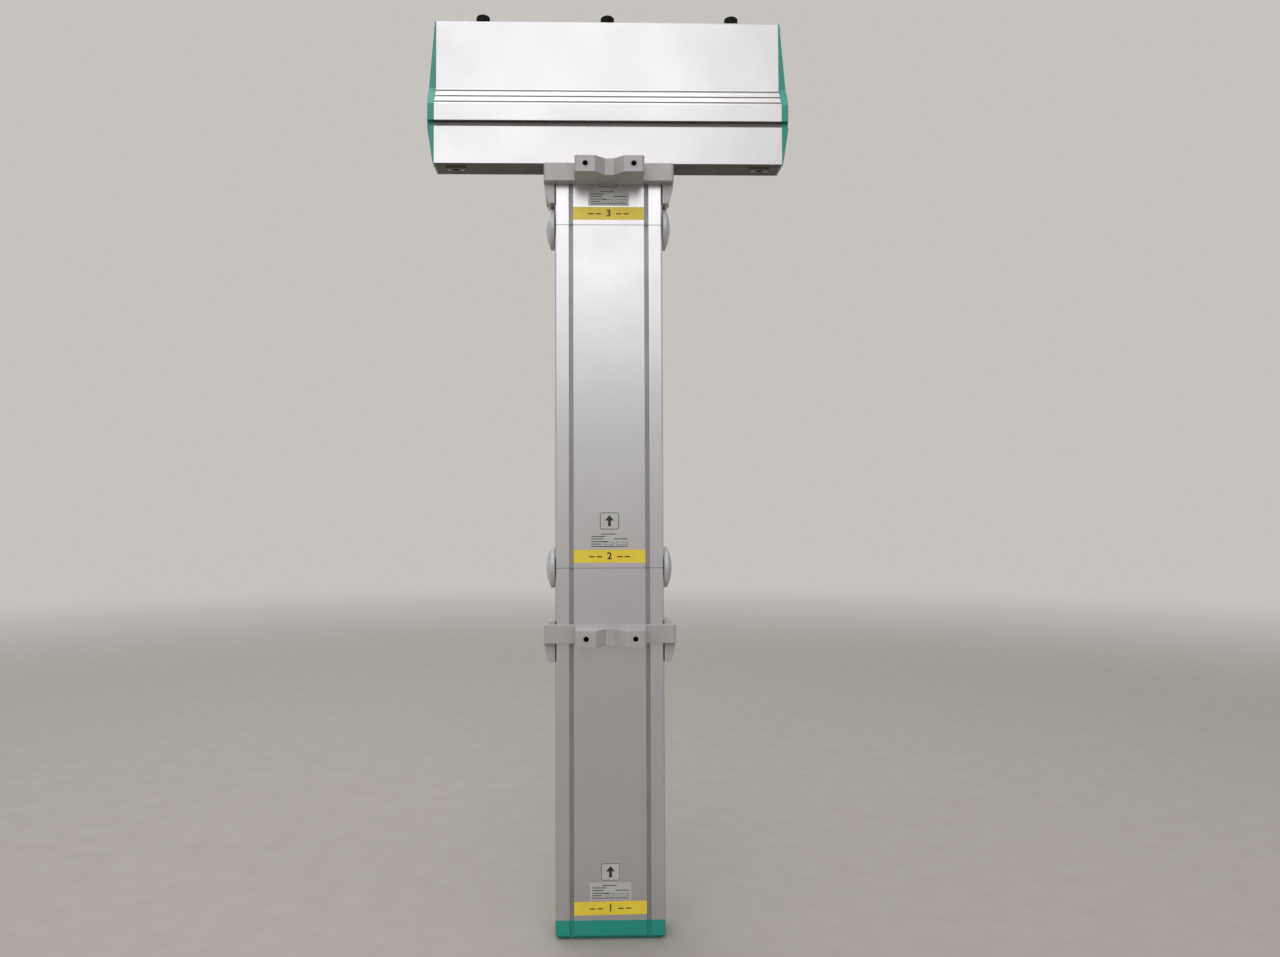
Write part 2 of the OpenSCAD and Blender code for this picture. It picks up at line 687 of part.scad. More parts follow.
module socket_screws() in_frame() color(steel) for (s = [-1, 1], t = [-7, 7])
    translate([s * socket_x + t, socket_y, head_z]) rotate([180, 0, 0])
        rotate_extrude($fn = 32) polygon([[0, -5], [0.95, -5], [0.95, 1.6], [1.9, 1.6],
            [1.9, 2.3], [1.2, 2.8], [0, 2.8]]);

// Pan-head screws: docking rails, stub cover, shelf, chassis flange, end caps, foot cap
module panel_screws() in_frame() color(steel) {
    for (z0 = [foot_h, seam_1]) rail_screw_places(z0, 5, module_l) pan_screw(7);
    rail_screw_places(seam_2, 2, stub_top - seam_2) pan_screw(5);
    for (s = [-1, 1], y = boss_y) {
        translate([s * boss_x, y, stub_top + 3]) pan_screw(14);
        translate([s * boss_x, y, foot_seat]) rotate([180, 0, 0]) pan_screw(22);
    }
    chassis_screw_places(7.2) pan_screw(6);
    both_sides() for (p = cap_screw_at)
        translate([head_w / 2 + cap_seat, p[0], head_z + p[1]]) rotate([0, 90, 0]) pan_screw(14);
}

// ---- thumb screws and keys ---------------------------------------------------

module thumbscrew(i) in_frame() color(near_black)
    translate([i * thumbscrew_pitch, thumbscrew_y, head_z + head_h + run_gap])
        rotate_extrude() difference() {
            union() {
                translate([0, -11]) square([2.45, 12]);
                square([knob_r, knob_h - knob_dome]);
                translate([0, knob_h - knob_dome]) scale([1, knob_dome / knob_r]) circle(knob_r);
            }
            translate([-20, -20]) square([20, 60]);
        }

module thumbscrew_left() thumbscrew(-1);
module thumbscrew_centre() thumbscrew(0);
module thumbscrew_right() thumbscrew(1);

module thumbscrew_nuts() in_frame() color(steel) for (i = [-1, 0, 1])
    translate([i * thumbscrew_pitch, thumbscrew_y, head_z + head_h - skin - 6]) difference() {
        cylinder(r = 5.6, h = 6, $fn = 6);
        translate([0, 0, -1]) cylinder(r = 2.5, h = 8);
    }

// Push key: a cap in front, a flange behind the panel and a stem to its switch
module push_key(s) in_frame() translate([s * key_x, 0, head_z + window_z]) rotate([-90, 0, 0])
    rotate_extrude() polygon([[0, 59.2], [2.5, 59.2], [2.5, 64.6], [key_r + 2, 64.6],
        [key_r + 2, 66.7], [key_r, 66.7], [key_r, face_y + 1], [key_r - 1, face_y + 2],
        [0, face_y + 2]]);

module power_key() color(cap_green) push_key(-1);
module silence_key() color([0.80, 0.72, 0.20]) push_key(1);

foot_cap();
lower_profile();
upper_profile();
stub_profile();
lower_docking_rail();
upper_docking_rail();
stub_front_cover();
lower_backplane();
upper_backplane();
lower_contact_blocks();
upper_contact_blocks();
contact_pins();
lower_coupler();
upper_coupler();
lock_bushes();
catch_guides();
release_catch_1();
release_catch_2();
release_catch_3();
release_catch_4();
release_catch_5();
release_catch_6();
catch_spring_1();
catch_spring_2();
catch_spring_3();
catch_spring_4();
catch_spring_5();
catch_spring_6();
lock_disc_lower_left();
lock_disc_lower_right();
lock_disc_upper_left();
lock_disc_upper_right();
lock_shaft_lower_left();
lock_shaft_lower_right();
lock_shaft_upper_left();
lock_shaft_upper_right();
lower_pole_bracket();
upper_pole_bracket();
bracket_nut_plates();
frame_screws();
panel_screws();
head_upper_profile();
head_lower_profile();
head_end_cap_left();
head_end_cap_right();
head_front_panel();
display_window();
display_module();
head_chassis();
head_control_board();
head_power_board();
accessory_sockets();
socket_screws();
thumbscrew_left();
thumbscrew_centre();
thumbscrew_right();
thumbscrew_nuts();
power_key();
silence_key();
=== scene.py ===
"""Finishes, labels and studio for a pole-mounted docking column for stacked medical pumps.

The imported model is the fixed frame: +Z up, the pole brackets face -Y, the docking side faces +Y,
and the origin is the middle of the lower bracket's two tapped holes. Lengths are metres unless a
name ends in _mm.
"""

import json
import logging
import math
from dataclasses import dataclass, field
from enum import Enum
from typing import Iterable, Sequence

import bmesh
import bpy
from mathutils import Euler, Matrix, Vector


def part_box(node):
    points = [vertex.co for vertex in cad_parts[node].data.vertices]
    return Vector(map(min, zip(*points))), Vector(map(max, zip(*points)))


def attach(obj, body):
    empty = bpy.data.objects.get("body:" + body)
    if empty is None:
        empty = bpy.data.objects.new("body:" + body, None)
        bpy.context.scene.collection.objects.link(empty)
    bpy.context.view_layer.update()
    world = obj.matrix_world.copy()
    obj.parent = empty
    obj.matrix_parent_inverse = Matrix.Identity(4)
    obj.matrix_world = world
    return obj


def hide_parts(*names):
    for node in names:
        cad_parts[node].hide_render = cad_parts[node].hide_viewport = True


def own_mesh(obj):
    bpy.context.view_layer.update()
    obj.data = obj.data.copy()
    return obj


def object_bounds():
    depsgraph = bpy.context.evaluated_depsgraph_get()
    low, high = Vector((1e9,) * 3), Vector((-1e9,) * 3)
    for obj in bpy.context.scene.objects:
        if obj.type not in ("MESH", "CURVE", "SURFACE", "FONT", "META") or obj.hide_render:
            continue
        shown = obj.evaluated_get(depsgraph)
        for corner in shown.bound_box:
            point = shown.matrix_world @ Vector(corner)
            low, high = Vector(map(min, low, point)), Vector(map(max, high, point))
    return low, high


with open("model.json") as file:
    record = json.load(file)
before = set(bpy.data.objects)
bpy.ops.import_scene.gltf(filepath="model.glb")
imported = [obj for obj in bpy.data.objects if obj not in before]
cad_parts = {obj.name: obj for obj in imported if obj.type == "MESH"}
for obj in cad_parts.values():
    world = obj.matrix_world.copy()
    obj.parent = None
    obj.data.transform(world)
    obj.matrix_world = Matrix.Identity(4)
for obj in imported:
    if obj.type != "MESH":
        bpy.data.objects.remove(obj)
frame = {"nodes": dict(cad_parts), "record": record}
CAD_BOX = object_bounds()

MM = 0.001
LOG = logging.getLogger("docking_column")
SIDES = ("left", "right")
LEVELS = ("lower", "upper")
BAYS = 6
# Lift that keeps a film or a print clear of the face under it
GAP = 0.01 * MM
# Edges that turn by more than this stay crisp under smooth shading
CRISP = math.radians(32)

Point = tuple[float, float]
Outline = Sequence[Point]


# ---- small helpers ---------------------------------------------------------


def srgb(code: str, alpha: float = 1.0) -> tuple[float, float, float, float]:
    """Turns an sRGB hex colour into a linear one.

    Args:
        code: Six hex digits, such as "2f8f7c".
        alpha: Opacity of the colour.

    Returns:
        Linear red, green, blue and alpha.
    """
    parts = [int(code[i : i + 2], 16) / 255 for i in (0, 2, 4)]
    linear = [c / 12.92 if c <= 0.04045 else ((c + 0.055) / 1.055) ** 2.4 for c in parts]
    return (linear[0], linear[1], linear[2], alpha)


def add(tree: bpy.types.NodeTree, kind: str, settings: dict | None = None,
        **links: bpy.types.NodeSocket) -> bpy.types.Node:
    """Adds one node to a tree.

    Args:
        tree: The node tree.
        kind: Blender's name for the node type.
        settings: Node attributes by name, and socket values by "in:" and the socket's name or index.
        **links: Output sockets to join to the input named, with spaces as underscores.

    Returns:
        The new node.
    """
    node = tree.nodes.new(kind)
    for name, value in (settings or {}).items():
        if name.startswith("in:"):
            key = name[3:]
            node.inputs[int(key) if key.isdigit() else key].default_value = value
        else:
            setattr(node, name, value)
    for name, socket in links.items():
        key = name[1:] if name.startswith("_") else name.replace("_", " ")
        tree.links.new(socket, node.inputs[int(key) if key.isdigit() else key])
    return node


def new_tree(owner: bpy.types.Material | bpy.types.World) -> bpy.types.NodeTree:
    """Gives a material or world an empty node tree."""
    owner.use_nodes = True
    owner.node_tree.nodes.clear()
    return owner.node_tree


def link(thing: bpy.types.Object) -> bpy.types.Object:
    """Puts an object into the scene."""
    bpy.context.scene.collection.objects.link(thing)
    return thing


def span(node: str) -> tuple[Vector, Vector, Vector]:
    """Gives the lowest corner, highest corner and middle of a CAD node's box."""
    low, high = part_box(node)
    return low, high, (low + high) / 2


def rounded_outline(w: float, h: float, r: float, steps: int = 6) -> list[Point]:
    """Gives the outline of a rounded rectangle around the origin.

    Args:
        w: Width.
        h: Height.
        r: Corner radius.
        steps: Points in each corner.

    Returns:
        Points (u, v), counter-clockwise.
    """
    points = []
    for corner, (sx, sy) in enumerate([(1, -1), (1, 1), (-1, 1), (-1, -1)]):
        for i in range(steps + 1):
            a = math.radians(-90 + 90 * corner + 90 * i / steps)
            points.append((sx * (w / 2 - r) + r * math.cos(a), sy * (h / 2 - r) + r * math.sin(a)))
    return points


def rectangle(u0: float, v0: float, u1: float, v1: float) -> list[Point]:
    """Gives the outline of a rectangle from its lower and upper corner, counter-clockwise."""
    return [(u0, v0), (u1, v0), (u1, v1), (u0, v1)]


def mesh_from(bm: bmesh.types.BMesh, name: str) -> bpy.types.Mesh:
    """Turns a bmesh into a mesh and frees the bmesh."""
    mesh = bpy.data.meshes.new(name)
    bm.to_mesh(mesh)
    bm.free()
    return mesh


def ring_band(rings: Sequence[Sequence[Vector]]) -> bmesh.types.BMesh:
    """Joins rings of equally many points, each to the next one and the last to the first."""
    bm = bmesh.new()
    loops = [[bm.verts.new(point) for point in ring] for ring in rings]
    for loop, after in zip(loops, loops[1:] + loops[:1]):
        for i in range(len(loop)):
            j = (i + 1) % len(loop)
            bm.faces.new((loop[i], loop[j], after[j], after[i]))
    return bm


def mesh_object(mesh: bpy.types.Mesh, finish: bpy.types.Material, body: str = "column") -> bpy.types.Object:
    """Links a mesh as a piece of the object, under the mesh's own name.

    Args:
        mesh: The mesh, in the row frame.
        finish: Its material.
        body: The CAD body it rides on.

    Returns:
        The new object.
    """
    mesh.materials.append(finish)
    piece = link(bpy.data.objects.new(mesh.name, mesh))
    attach(piece, body)
    LOG.info("%s: %d faces on %s", mesh.name, len(mesh.polygons), body)
    return piece


def plates_mesh(name: str, outlines: Iterable[Outline], place: Matrix, t: float) -> bpy.types.Mesh:
    """Makes thin plates from flat outlines.

    Args:
        name: Name of the mesh.
        outlines: Outlines (u, v), counter-clockwise, in the plates' own plane.
        place: Puts the plane's u, v and outward w into the row frame.
        t: Thickness along w.

    Returns:
        A closed mesh with every plate in it.
    """
    bm = bmesh.new()
    for outline in outlines:
        rings = [[bm.verts.new(place @ Vector((u, v, w))) for u, v in outline] for w in (0, t)]
        bm.faces.new(reversed(rings[0]))
        bm.faces.new(rings[1])
        for i in range(len(outline)):
            j = (i + 1) % len(outline)
            bm.faces.new((rings[0][i], rings[0][j], rings[1][j], rings[1][i]))
    return mesh_from(bm, name)


def rear_plane(x: float, y: float, z: float, tilt_deg: float = 0.0) -> Matrix:
    """Gives the plane of a face that looks to -Y: u runs along +X, v along +Z and w along -Y."""
    basis = Matrix(((1, 0, 0), (0, 0, -1), (0, 1, 0))).to_4x4()
    return Matrix.Translation((x, y, z)) @ basis @ Matrix.Rotation(math.radians(tilt_deg), 4, "Z")


def front_plane(x: float, y: float, z: float) -> Matrix:
    """Gives the plane of a face that looks to +Y: u runs along -X, v along +Z and w along +Y."""
    basis = Matrix(((-1, 0, 0), (0, 0, 1), (0, 1, 0))).to_4x4()
    return Matrix.Translation((x, y, z)) @ basis


def glyph_mesh(name: str, text: str, height: float, place: Matrix, t: float) -> bpy.types.Mesh:
    """Makes plain raised figures, centred on a plane.

    Args:
        name: Name of the mesh.
        text: The figures.
        height: Height of a figure.
        place: The plane, as for plates_mesh.
        t: Thickness.

    Returns:
        The figures as a mesh.
    """
    curve = bpy.data.curves.new(name + "_outline", "FONT")
    curve.body = text
    curve.size = height * 1.4
    curve.align_x = "CENTER"
    curve.align_y = "CENTER"
    curve.extrude = t / 2
    curve.resolution_u = 4
    curve.offset = height * 0.035
    holder = link(bpy.data.objects.new(name + "_outline", curve))
    shown = holder.evaluated_get(bpy.context.evaluated_depsgraph_get())
    mesh = bpy.data.meshes.new_from_object(shown)
    mesh.name = name
    mesh.transform(place @ Matrix.Translation((0, 0, t / 2)))
    bpy.data.objects.remove(holder)
    bpy.data.curves.remove(curve)
    return mesh


def islands(node: str) -> list[list[Vector]]:
    """Finds the separate solids of a CAD node.

    Args:
        node: The node's name.

    Returns:
        The points of each solid, in a fixed order.
    """
    bm = bmesh.new()
    bm.from_mesh(frame["nodes"][node].data)
    bmesh.ops.remove_doubles(bm, verts=bm.verts, dist=1e-6)
    left = set(bm.verts)
    groups = []
    while left:
        todo = [left.pop()]
        group = []
        while todo:
            vert = todo.pop()
            group.append(vert.co.copy())
            for edge in vert.link_edges:
                other = edge.other_vert(vert)
                if other in left:
                    left.remove(other)
                    todo.append(other)
        groups.append(group)
    bm.free()
    return sorted(groups, key=lambda g: tuple(round(min(c[i] for c in g), 5) for i in range(3)))


def lathe_mesh(name: str, profile: Outline, places: Iterable[Matrix],
               segments: int = 32, hex_from: int | None = None) -> bpy.types.Mesh:
    """Turns one profile around each of several axes.

    Args:
        name: Name of the mesh.
        profile: Points (radius, w), from the axis at the bottom, outward and back to the axis.
        places: Each puts u, v and the axis w into the row frame.
        segments: Steps round the axis, a multiple of six.
        hex_from: From this profile point on, the rings are hexagons; None for round ones.

    Returns:
        The turned solids as one mesh.
    """
    bm = bmesh.new()
    for place in places:
        rings = []
        for k, (radius, w) in enumerate(profile):
            if radius == 0:
                rings.append([bm.verts.new(place @ Vector((0, 0, w)))])
                continue
            ring = []
            for i in range(segments):
                a = math.tau * i / segments
                flat = math.cos(math.pi / 6) / math.cos((a % (math.pi / 3)) - math.pi / 6)
                r = radius * (flat if hex_from is not None and k >= hex_from else 1)
                ring.append(bm.verts.new(place @ Vector((r * math.cos(a), r * math.sin(a), w))))
            rings.append(ring)
        for low, high in zip(rings, rings[1:]):
            for i in range(segments):
                j = (i + 1) % segments
                corners = [low[i % len(low)], low[j % len(low)], high[j % len(high)], high[i % len(high)]]
                bm.faces.new(list(dict.fromkeys(corners)))
    bmesh.ops.recalc_face_normals(bm, faces=bm.faces)
    mesh = mesh_from(bm, name)
    mesh.shade_smooth()
    mesh.set_sharp_from_angle(angle=CRISP)
    return mesh


# ---- finishes --------------------------------------------------------------


class Grain(Enum):
    """How a surface's fine grain runs."""

    EVEN = (1.0, 1.0, 1.0)
    UPRIGHT = (1.0, 1.0, 0.02)
    LEVEL = (0.02, 1.0, 1.0)


@dataclass(frozen=True)
class Finish:
    """A material and how its surface was made, or a flat tone that paints shade into a recess or underside.
    """

    name: str
    colour: str
    shade: str
    metallic: float
    roughness: float
    rough_spread: float
    grain_mm: float
    relief_mm: float
    grain: Grain = Grain.EVEN
    mottle_mm: float = 45.0
    edge_mm: float = 0.5
    wear: str | None = None
    wear_amount: float = 0.0
    coat: float = 0.0
    coat_roughness: float = 0.1
    specular: float = 0.5
    ior: float = 1.5
    glow: str | None = None
    glow_strength: float = 0.0

    def build(self) -> bpy.types.Material:
        """Makes the node material.

        Returns:
            The material, with colour, roughness and relief that vary over the surface.
        """
        made = bpy.data.materials.new(self.name)
        tree = new_tree(made)
        place = add(tree, "ShaderNodeTexCoord").outputs["Object"]
        per_metre = 1 / (self.grain_mm * MM)
        stretch = [per_metre * s for s in self.grain.value]
        fine_at = add(tree, "ShaderNodeMapping", {"in:Scale": stretch}, Vector=place)
        fine = add(tree, "ShaderNodeTexNoise", {"in:Scale": 1.0, "in:Detail": 3.0}, Vector=fine_at.outputs[0])
        broad_scale = 1 / (self.mottle_mm * MM)
        broad = add(tree, "ShaderNodeTexNoise", {"in:Scale": broad_scale, "in:Detail": 4.0}, Vector=place)
        both = add(tree, "ShaderNodeMath", {"operation": "MULTIPLY_ADD", "in:1": 0.45},
                   _0=fine.outputs[0], _2=broad.outputs[0])
        spread = add(tree, "ShaderNodeMapRange", {"in:From Min": 0.45, "in:From Max": 1.0},
                     Value=both.outputs[0])
        colour = add(tree, "ShaderNodeMix", {"data_type": "RGBA", "in:6": srgb(self.colour),
                                             "in:7": srgb(self.shade)}, _0=spread.outputs[0])
        rough = add(tree, "ShaderNodeMapRange", {
            "in:To Min": self.roughness - self.rough_spread, "in:To Max": self.roughness + self.rough_spread},
            Value=spread.outputs[0])
        soft_edge = add(tree, "ShaderNodeBevel", {"samples": 4, "in:Radius": self.edge_mm * MM})
        bump = add(tree, "ShaderNodeBump", {"in:Strength": 1.0, "in:Distance": self.relief_mm * MM},
                   Height=fine.outputs[0], Normal=soft_edge.outputs[0])
        colour_out = colour.outputs[2]
        if self.wear:
            colour_out = self._worn(tree, colour_out, soft_edge.outputs[0], fine.outputs[0])
        shader = add(tree, "ShaderNodeBsdfPrincipled", {
            "in:Metallic": self.metallic, "in:Coat Weight": self.coat,
            "in:Coat Roughness": self.coat_roughness},
            Base_Color=colour_out, Roughness=rough.outputs[0], Normal=bump.outputs[0])
        if self.metallic < 0.5:
            shader.inputs["IOR"].default_value = self.ior
            shader.inputs["Specular IOR Level"].default_value = self.specular
        if self.glow:
            shader.inputs["Emission Color"].default_value = srgb(self.glow)
            shader.inputs["Emission Strength"].default_value = self.glow_strength
        add(tree, "ShaderNodeOutputMaterial", Surface=shader.outputs[0])
        return made

    def _worn(self, tree: bpy.types.NodeTree, colour: bpy.types.NodeSocket,
              soft: bpy.types.NodeSocket, noise: bpy.types.NodeSocket) -> bpy.types.NodeSocket:
        """Brightens the rubbed edges.

        Args:
            tree: The material's tree.
            colour: The unworn colour.
            soft: Normal rounded over the edges.
            noise: Fine noise that breaks the wear up.

        Returns:
            The colour with wear along the edges.
        """
        true_normal = add(tree, "ShaderNodeNewGeometry").outputs["Normal"]
        close = add(tree, "ShaderNodeVectorMath", {"operation": "DOT_PRODUCT"}, _0=soft, _1=true_normal)
        edge = add(tree, "ShaderNodeMapRange", {"in:From Min": 0.995, "in:From Max": 0.90},
                   Value=close.outputs[1])
        broken = add(tree, "ShaderNodeMath", {"operation": "MULTIPLY"}, _0=edge.outputs[0], _1=noise)
        amount = add(tree, "ShaderNodeMath", {"operation": "MULTIPLY", "in:1": self.wear_amount},
                     _0=broken.outputs[0])
        return add(tree, "ShaderNodeMix", {"data_type": "RGBA", "in:7": srgb(self.wear)},
                   _0=amount.outputs[0], _6=colour).outputs[2]


# Clear-anodised extrusion: satin silver with a faint upright drawing grain and a soft bright bloom
ANODISED = Finish("anodised_aluminium_satin", "d4d3d6", "cbcace", 1.0, 0.34, 0.03, 0.35, 0.004,
                  grain=Grain.UPRIGHT, mottle_mm=70, edge_mm=0.5)
# The head's longer extrusion runs the other way, so its grain is level; its colour is a little darker than
# the column's, painted shade that tones down the overhead light on the head
ANODISED_HEAD = Finish("anodised_aluminium_head", "cccbce", "c4c3c6", 1.0, 0.38, 0.03, 0.35, 0.004,
                       grain=Grain.LEVEL, mottle_mm=90, edge_mm=0.5)
# The same extrusion, rougher and flat mid grey at the bottom of its grooves: the grey is painted shade in the
# grooves
ANODISED_GROOVE_SHADE = Finish("anodised_aluminium_groove_shade", "a3a2a4", "98979a", 0.85, 0.55, 0.04, 0.5, 0.01,
                       grain=Grain.UPRIGHT, mottle_mm=30, edge_mm=0.1)
# Pressure-cast aluminium under thin grey lacquer: matt mid grey, orange-peel skin, paler rubbed edges
CAST = Finish("lacquered_die_casting_grey", "b3b1b1", "a6a4a4", 0.15, 0.50, 0.06, 1.2, 0.03,
              mottle_mm=22, edge_mm=0.8, wear="dcdcdc", wear_amount=0.8, coat=0.1)
# Underside sheet: dark grey and matt, painted shade under the head
SHEET_PAINTED_SHADE = Finish("dark_grey_painted_shade_sheet", "5c5956", "524f4c", 0.0, 0.6, 0.05, 0.8, 0.01,
                    mottle_mm=25, edge_mm=0.1)
# Floors of the head's long groove and ribs, darker than the faces: painted shade in these recesses
ANODISED_SHADE = Finish("anodised_aluminium_painted_shade", "7e7b78", "74716e", 0.3, 0.6, 0.04, 0.5, 0.01,
                        grain=Grain.LEVEL, mottle_mm=30, edge_mm=0.1)
# Rubber seam gasket, grey and matt
RUBBER = Finish("seam_gasket_rubber", "5c5b59", "525150", 0.0, 0.7, 0.05, 0.5, 0.004, edge_mm=0.05)
# Turned disc under pale grey lacquer: smooth, low gloss, faint edge wear
LACQUERED = Finish("lacquered_disc_pale_grey", "bdbfc0", "b1b3b5", 0.25, 0.45, 0.04, 0.8, 0.008,
                   mottle_mm=18, edge_mm=0.5, wear="d9dadb", wear_amount=0.5, coat=0.15)
# Moulded ABS in sea green: even colour, fine spark-eroded texture, dull sheen
ABS_GREEN = Finish("moulded_abs_sea_green", "149683", "108a78", 0.0, 0.42, 0.05, 0.7, 0.02,
                   mottle_mm=35, edge_mm=0.6, wear="7fc4b4", wear_amount=0.35, ior=1.53)
# Moulded ABS in pale grey for the front panel
ABS_PALE = Finish("moulded_abs_pale_grey", "d5d6d6", "cccdcd", 0.0, 0.52, 0.05, 0.7, 0.02,
                  mottle_mm=50, edge_mm=0.6, ior=1.53)
# Moulded nylon, black: soft highlight, slightly dusty
NYLON_BLACK = Finish("moulded_nylon_black", "070708", "0c0c0d", 0.0, 0.58, 0.06, 0.9, 0.015,
                     mottle_mm=14, edge_mm=0.4, wear="3a3a3c", wear_amount=0.15, specular=0.12)
# Moulded nylon, grey, for the sockets under the head
SOCKET_GREY = Finish("moulded_nylon_grey", "5b5a58", "514f4d", 0.0, 0.5, 0.05, 0.9, 0.012,
                     mottle_mm=14, edge_mm=0.3, ior=1.53)
# Moulded ABS in signal yellow for the silence key
ABS_YELLOW = Finish("moulded_abs_yellow", "dcb92f", "d2ad28", 0.0, 0.45, 0.04, 0.6, 0.015, ior=1.53)
# Vinyl tape, printed yellow: flat colour with a weak waxy sheen
VINYL_YELLOW = Finish("vinyl_tape_yellow", "ead23c", "e3c932", 0.0, 0.38, 0.05, 1.6, 0.012,
                      mottle_mm=20, edge_mm=0.05, ior=1.5)
# Polyester plate film, silver-white and matt
FILM_PALE = Finish("polyester_film_pale", "bfc0be", "b7b8b6", 0.2, 0.45, 0.04, 1.4, 0.006,
                   mottle_mm=16, edge_mm=0.05)
# Printing ink, black
INK = Finish("printing_ink_black", "232325", "2d2d30", 0.0, 0.55, 0.05, 0.5, 0.002, edge_mm=0.02)
# Smoked acrylic over the display: deep gloss that hides what is behind it
ACRYLIC = Finish("smoked_acrylic_gloss", "0d1012", "111517", 0.0, 0.07, 0.02, 3.0, 0.002,
                 edge_mm=0.3, coat=0.6, coat_roughness=0.03, ior=1.49)
# Zinc-plated steel: cool grey with a faint cloudy bloom
ZINC = Finish("zinc_plated_steel", "b3b6ba", "9fa3a8", 1.0, 0.32, 0.06, 0.9, 0.006,
              mottle_mm=9, edge_mm=0.25, wear="d4d6d8", wear_amount=0.4)
# Drawn spring wire: darker and smoother than the plated parts
SPRING_WIRE = Finish("drawn_spring_wire", "8f9297", "7c8085", 1.0, 0.28, 0.05, 0.4, 0.004, edge_mm=0.1)
# Blackened steel thread, oily: nearly black down the hole
THREAD_STEEL = Finish("blackened_thread_steel", "1a1a1b", "101011", 0.5, 0.45, 0.05, 0.5, 0.004, edge_mm=0.05)
# Sintered bronze bush: warm, matt and slightly porous
BRONZE = Finish("sintered_bronze", "a67c4c", "8f683d", 1.0, 0.45, 0.06, 0.5, 0.02, edge_mm=0.2)
# Gold-plated contact: bright yellow metal
GOLD = Finish("gold_plated_contact", "d9ae55", "cda24b", 1.0, 0.22, 0.03, 0.6, 0.002, edge_mm=0.1)
# Glass-fibre board under green solder resist: weave shows as a slight mottle
BOARD = Finish("circuit_board_green", "1c5a34", "17492b", 0.0, 0.35, 0.05, 1.0, 0.01,
               mottle_mm=6, edge_mm=0.1, coat=0.2)
# Small signal lamp, lit
LAMP_GREEN = Finish("signal_lamp_green", "4fd08a", "46c47e", 0.0, 0.25, 0.02, 1.0, 0.002,
                    edge_mm=0.2, glow="35c46f", glow_strength=0.6)
# Display segments seen through the smoked window: pale green, dimly lit
DISPLAY_GLOW = Finish("display_segment_pale_green", "9fd8c4", "94cdb9", 0.0, 0.5, 0.02, 2.0, 0.001,
                      edge_mm=0.05, glow="5fae98", glow_strength=0.35)
# White pad print
PRINT_WHITE = Finish("pad_print_white", "e2e3e2", "d8d9d8", 0.0, 0.55, 0.03, 0.6, 0.002, edge_mm=0.02)
# Small signal lamp, unlit amber lens
LAMP_AMBER = Finish("signal_lamp_amber", "b8802a", "a87424", 0.0, 0.25, 0.02, 1.0, 0.002, edge_mm=0.2)


class Cabinet:
    """Builds each finish once and hands it out."""

    def __init__(self) -> None:
        """Starts with no finish built."""
        self._made: dict[str, bpy.types.Material] = {}

    def take(self, finish: Finish) -> bpy.types.Material:
        """Gives the material of a finish, building it the first time."""
        if finish.name not in self._made:
            self._made[finish.name] = finish.build()
        return self._made[finish.name]

    def dress(self, finish: Finish, *nodes: str) -> None:
        """Puts one finish on CAD nodes.

        Args:
            finish: The finish.
            *nodes: Names of CAD nodes.
        """
        for node in nodes:
            data = frame["nodes"][node].data
            data.materials.clear()
            data.materials.append(self.take(finish))
            LOG.info("%s: %s", node, finish.name)


# ---- sub-assemblies --------------------------------------------------------


@dataclass
class Column:
    """The extruded column with its foot, couplers and screws."""

    cabinet: Cabinet

    def build(self) -> None:
        """Dresses the extrusions and what joins them."""
        take = self.cabinet.dress
        take(ANODISED, "lower_profile", "upper_profile", "stub_profile", "stub_front_cover")
        take(ANODISED, *[f"{level}_docking_rail" for level in LEVELS])
        take(ABS_GREEN, "foot_cap")
        take(CAST, *[f"{level}_coupler" for level in LEVELS])
        take(CAST, *[f"{level}_pole_bracket" for level in LEVELS])
        take(ZINC, "bracket_nut_plates", "frame_screws", "panel_screws")


@dataclass
class GrooveFloors:
    """Flat grey strips on the floors of the two long grooves in the column's rear face: painted shade in the
    grooves.
    """

    cabinet: Cabinet
    groove_w: float = 4.36 * MM
    groove_x: float = 38.5 * MM
    groove_d: float = 1.8 * MM
    skin_t: float = 0.06 * MM

    def build(self) -> None:
        """Lays one strip in each groove of each extrusion."""
        for profile in ("lower_profile", "upper_profile", "stub_profile"):
            low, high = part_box(profile)
            outline = rectangle(-self.groove_w / 2, 0, self.groove_w / 2, high.z - low.z)
            for side, sign in zip(SIDES, (-1, 1)):
                name = f"groove_painted_shade_{profile.split('_')[0]}_{side}"
                place = rear_plane(sign * self.groove_x, low.y + self.groove_d, low.z)
                mesh = plates_mesh(name, [outline], place, self.skin_t)
                # The grey strip is painted shade in the groove.
                mesh_object(mesh, self.cabinet.take(ANODISED_GROOVE_SHADE))


@dataclass
class SeamGaskets:
    """Thin gaskets that show as a dark line where two extrusions meet."""

    cabinet: Cabinet
    proud: float = 0.05 * MM
    inward: float = 0.4 * MM
    height: float = 0.5 * MM
    corner_r: float = 2.0 * MM

    def build(self) -> None:
        """Puts one gasket at each seam between extrusions."""
        for number, profile in enumerate(("upper_profile", "stub_profile"), start=1):
            low, high, middle = span(profile)
            size = high - low
            rings = []
            out, back = self.proud, -self.inward
            for grow, up in ((out, -0.5), (out, 0.5), (back, 0.5), (back, -0.5)):
                outline = rounded_outline(size.x + 2 * grow, size.y + 2 * grow, self.corner_r)
                z = low.z + up * self.height
                rings.append([Vector((middle.x + u, middle.y + v, z)) for u, v in outline])
            mesh = mesh_from(ring_band(rings), f"seam_gasket_{number}")
            mesh_object(mesh, self.cabinet.take(RUBBER))


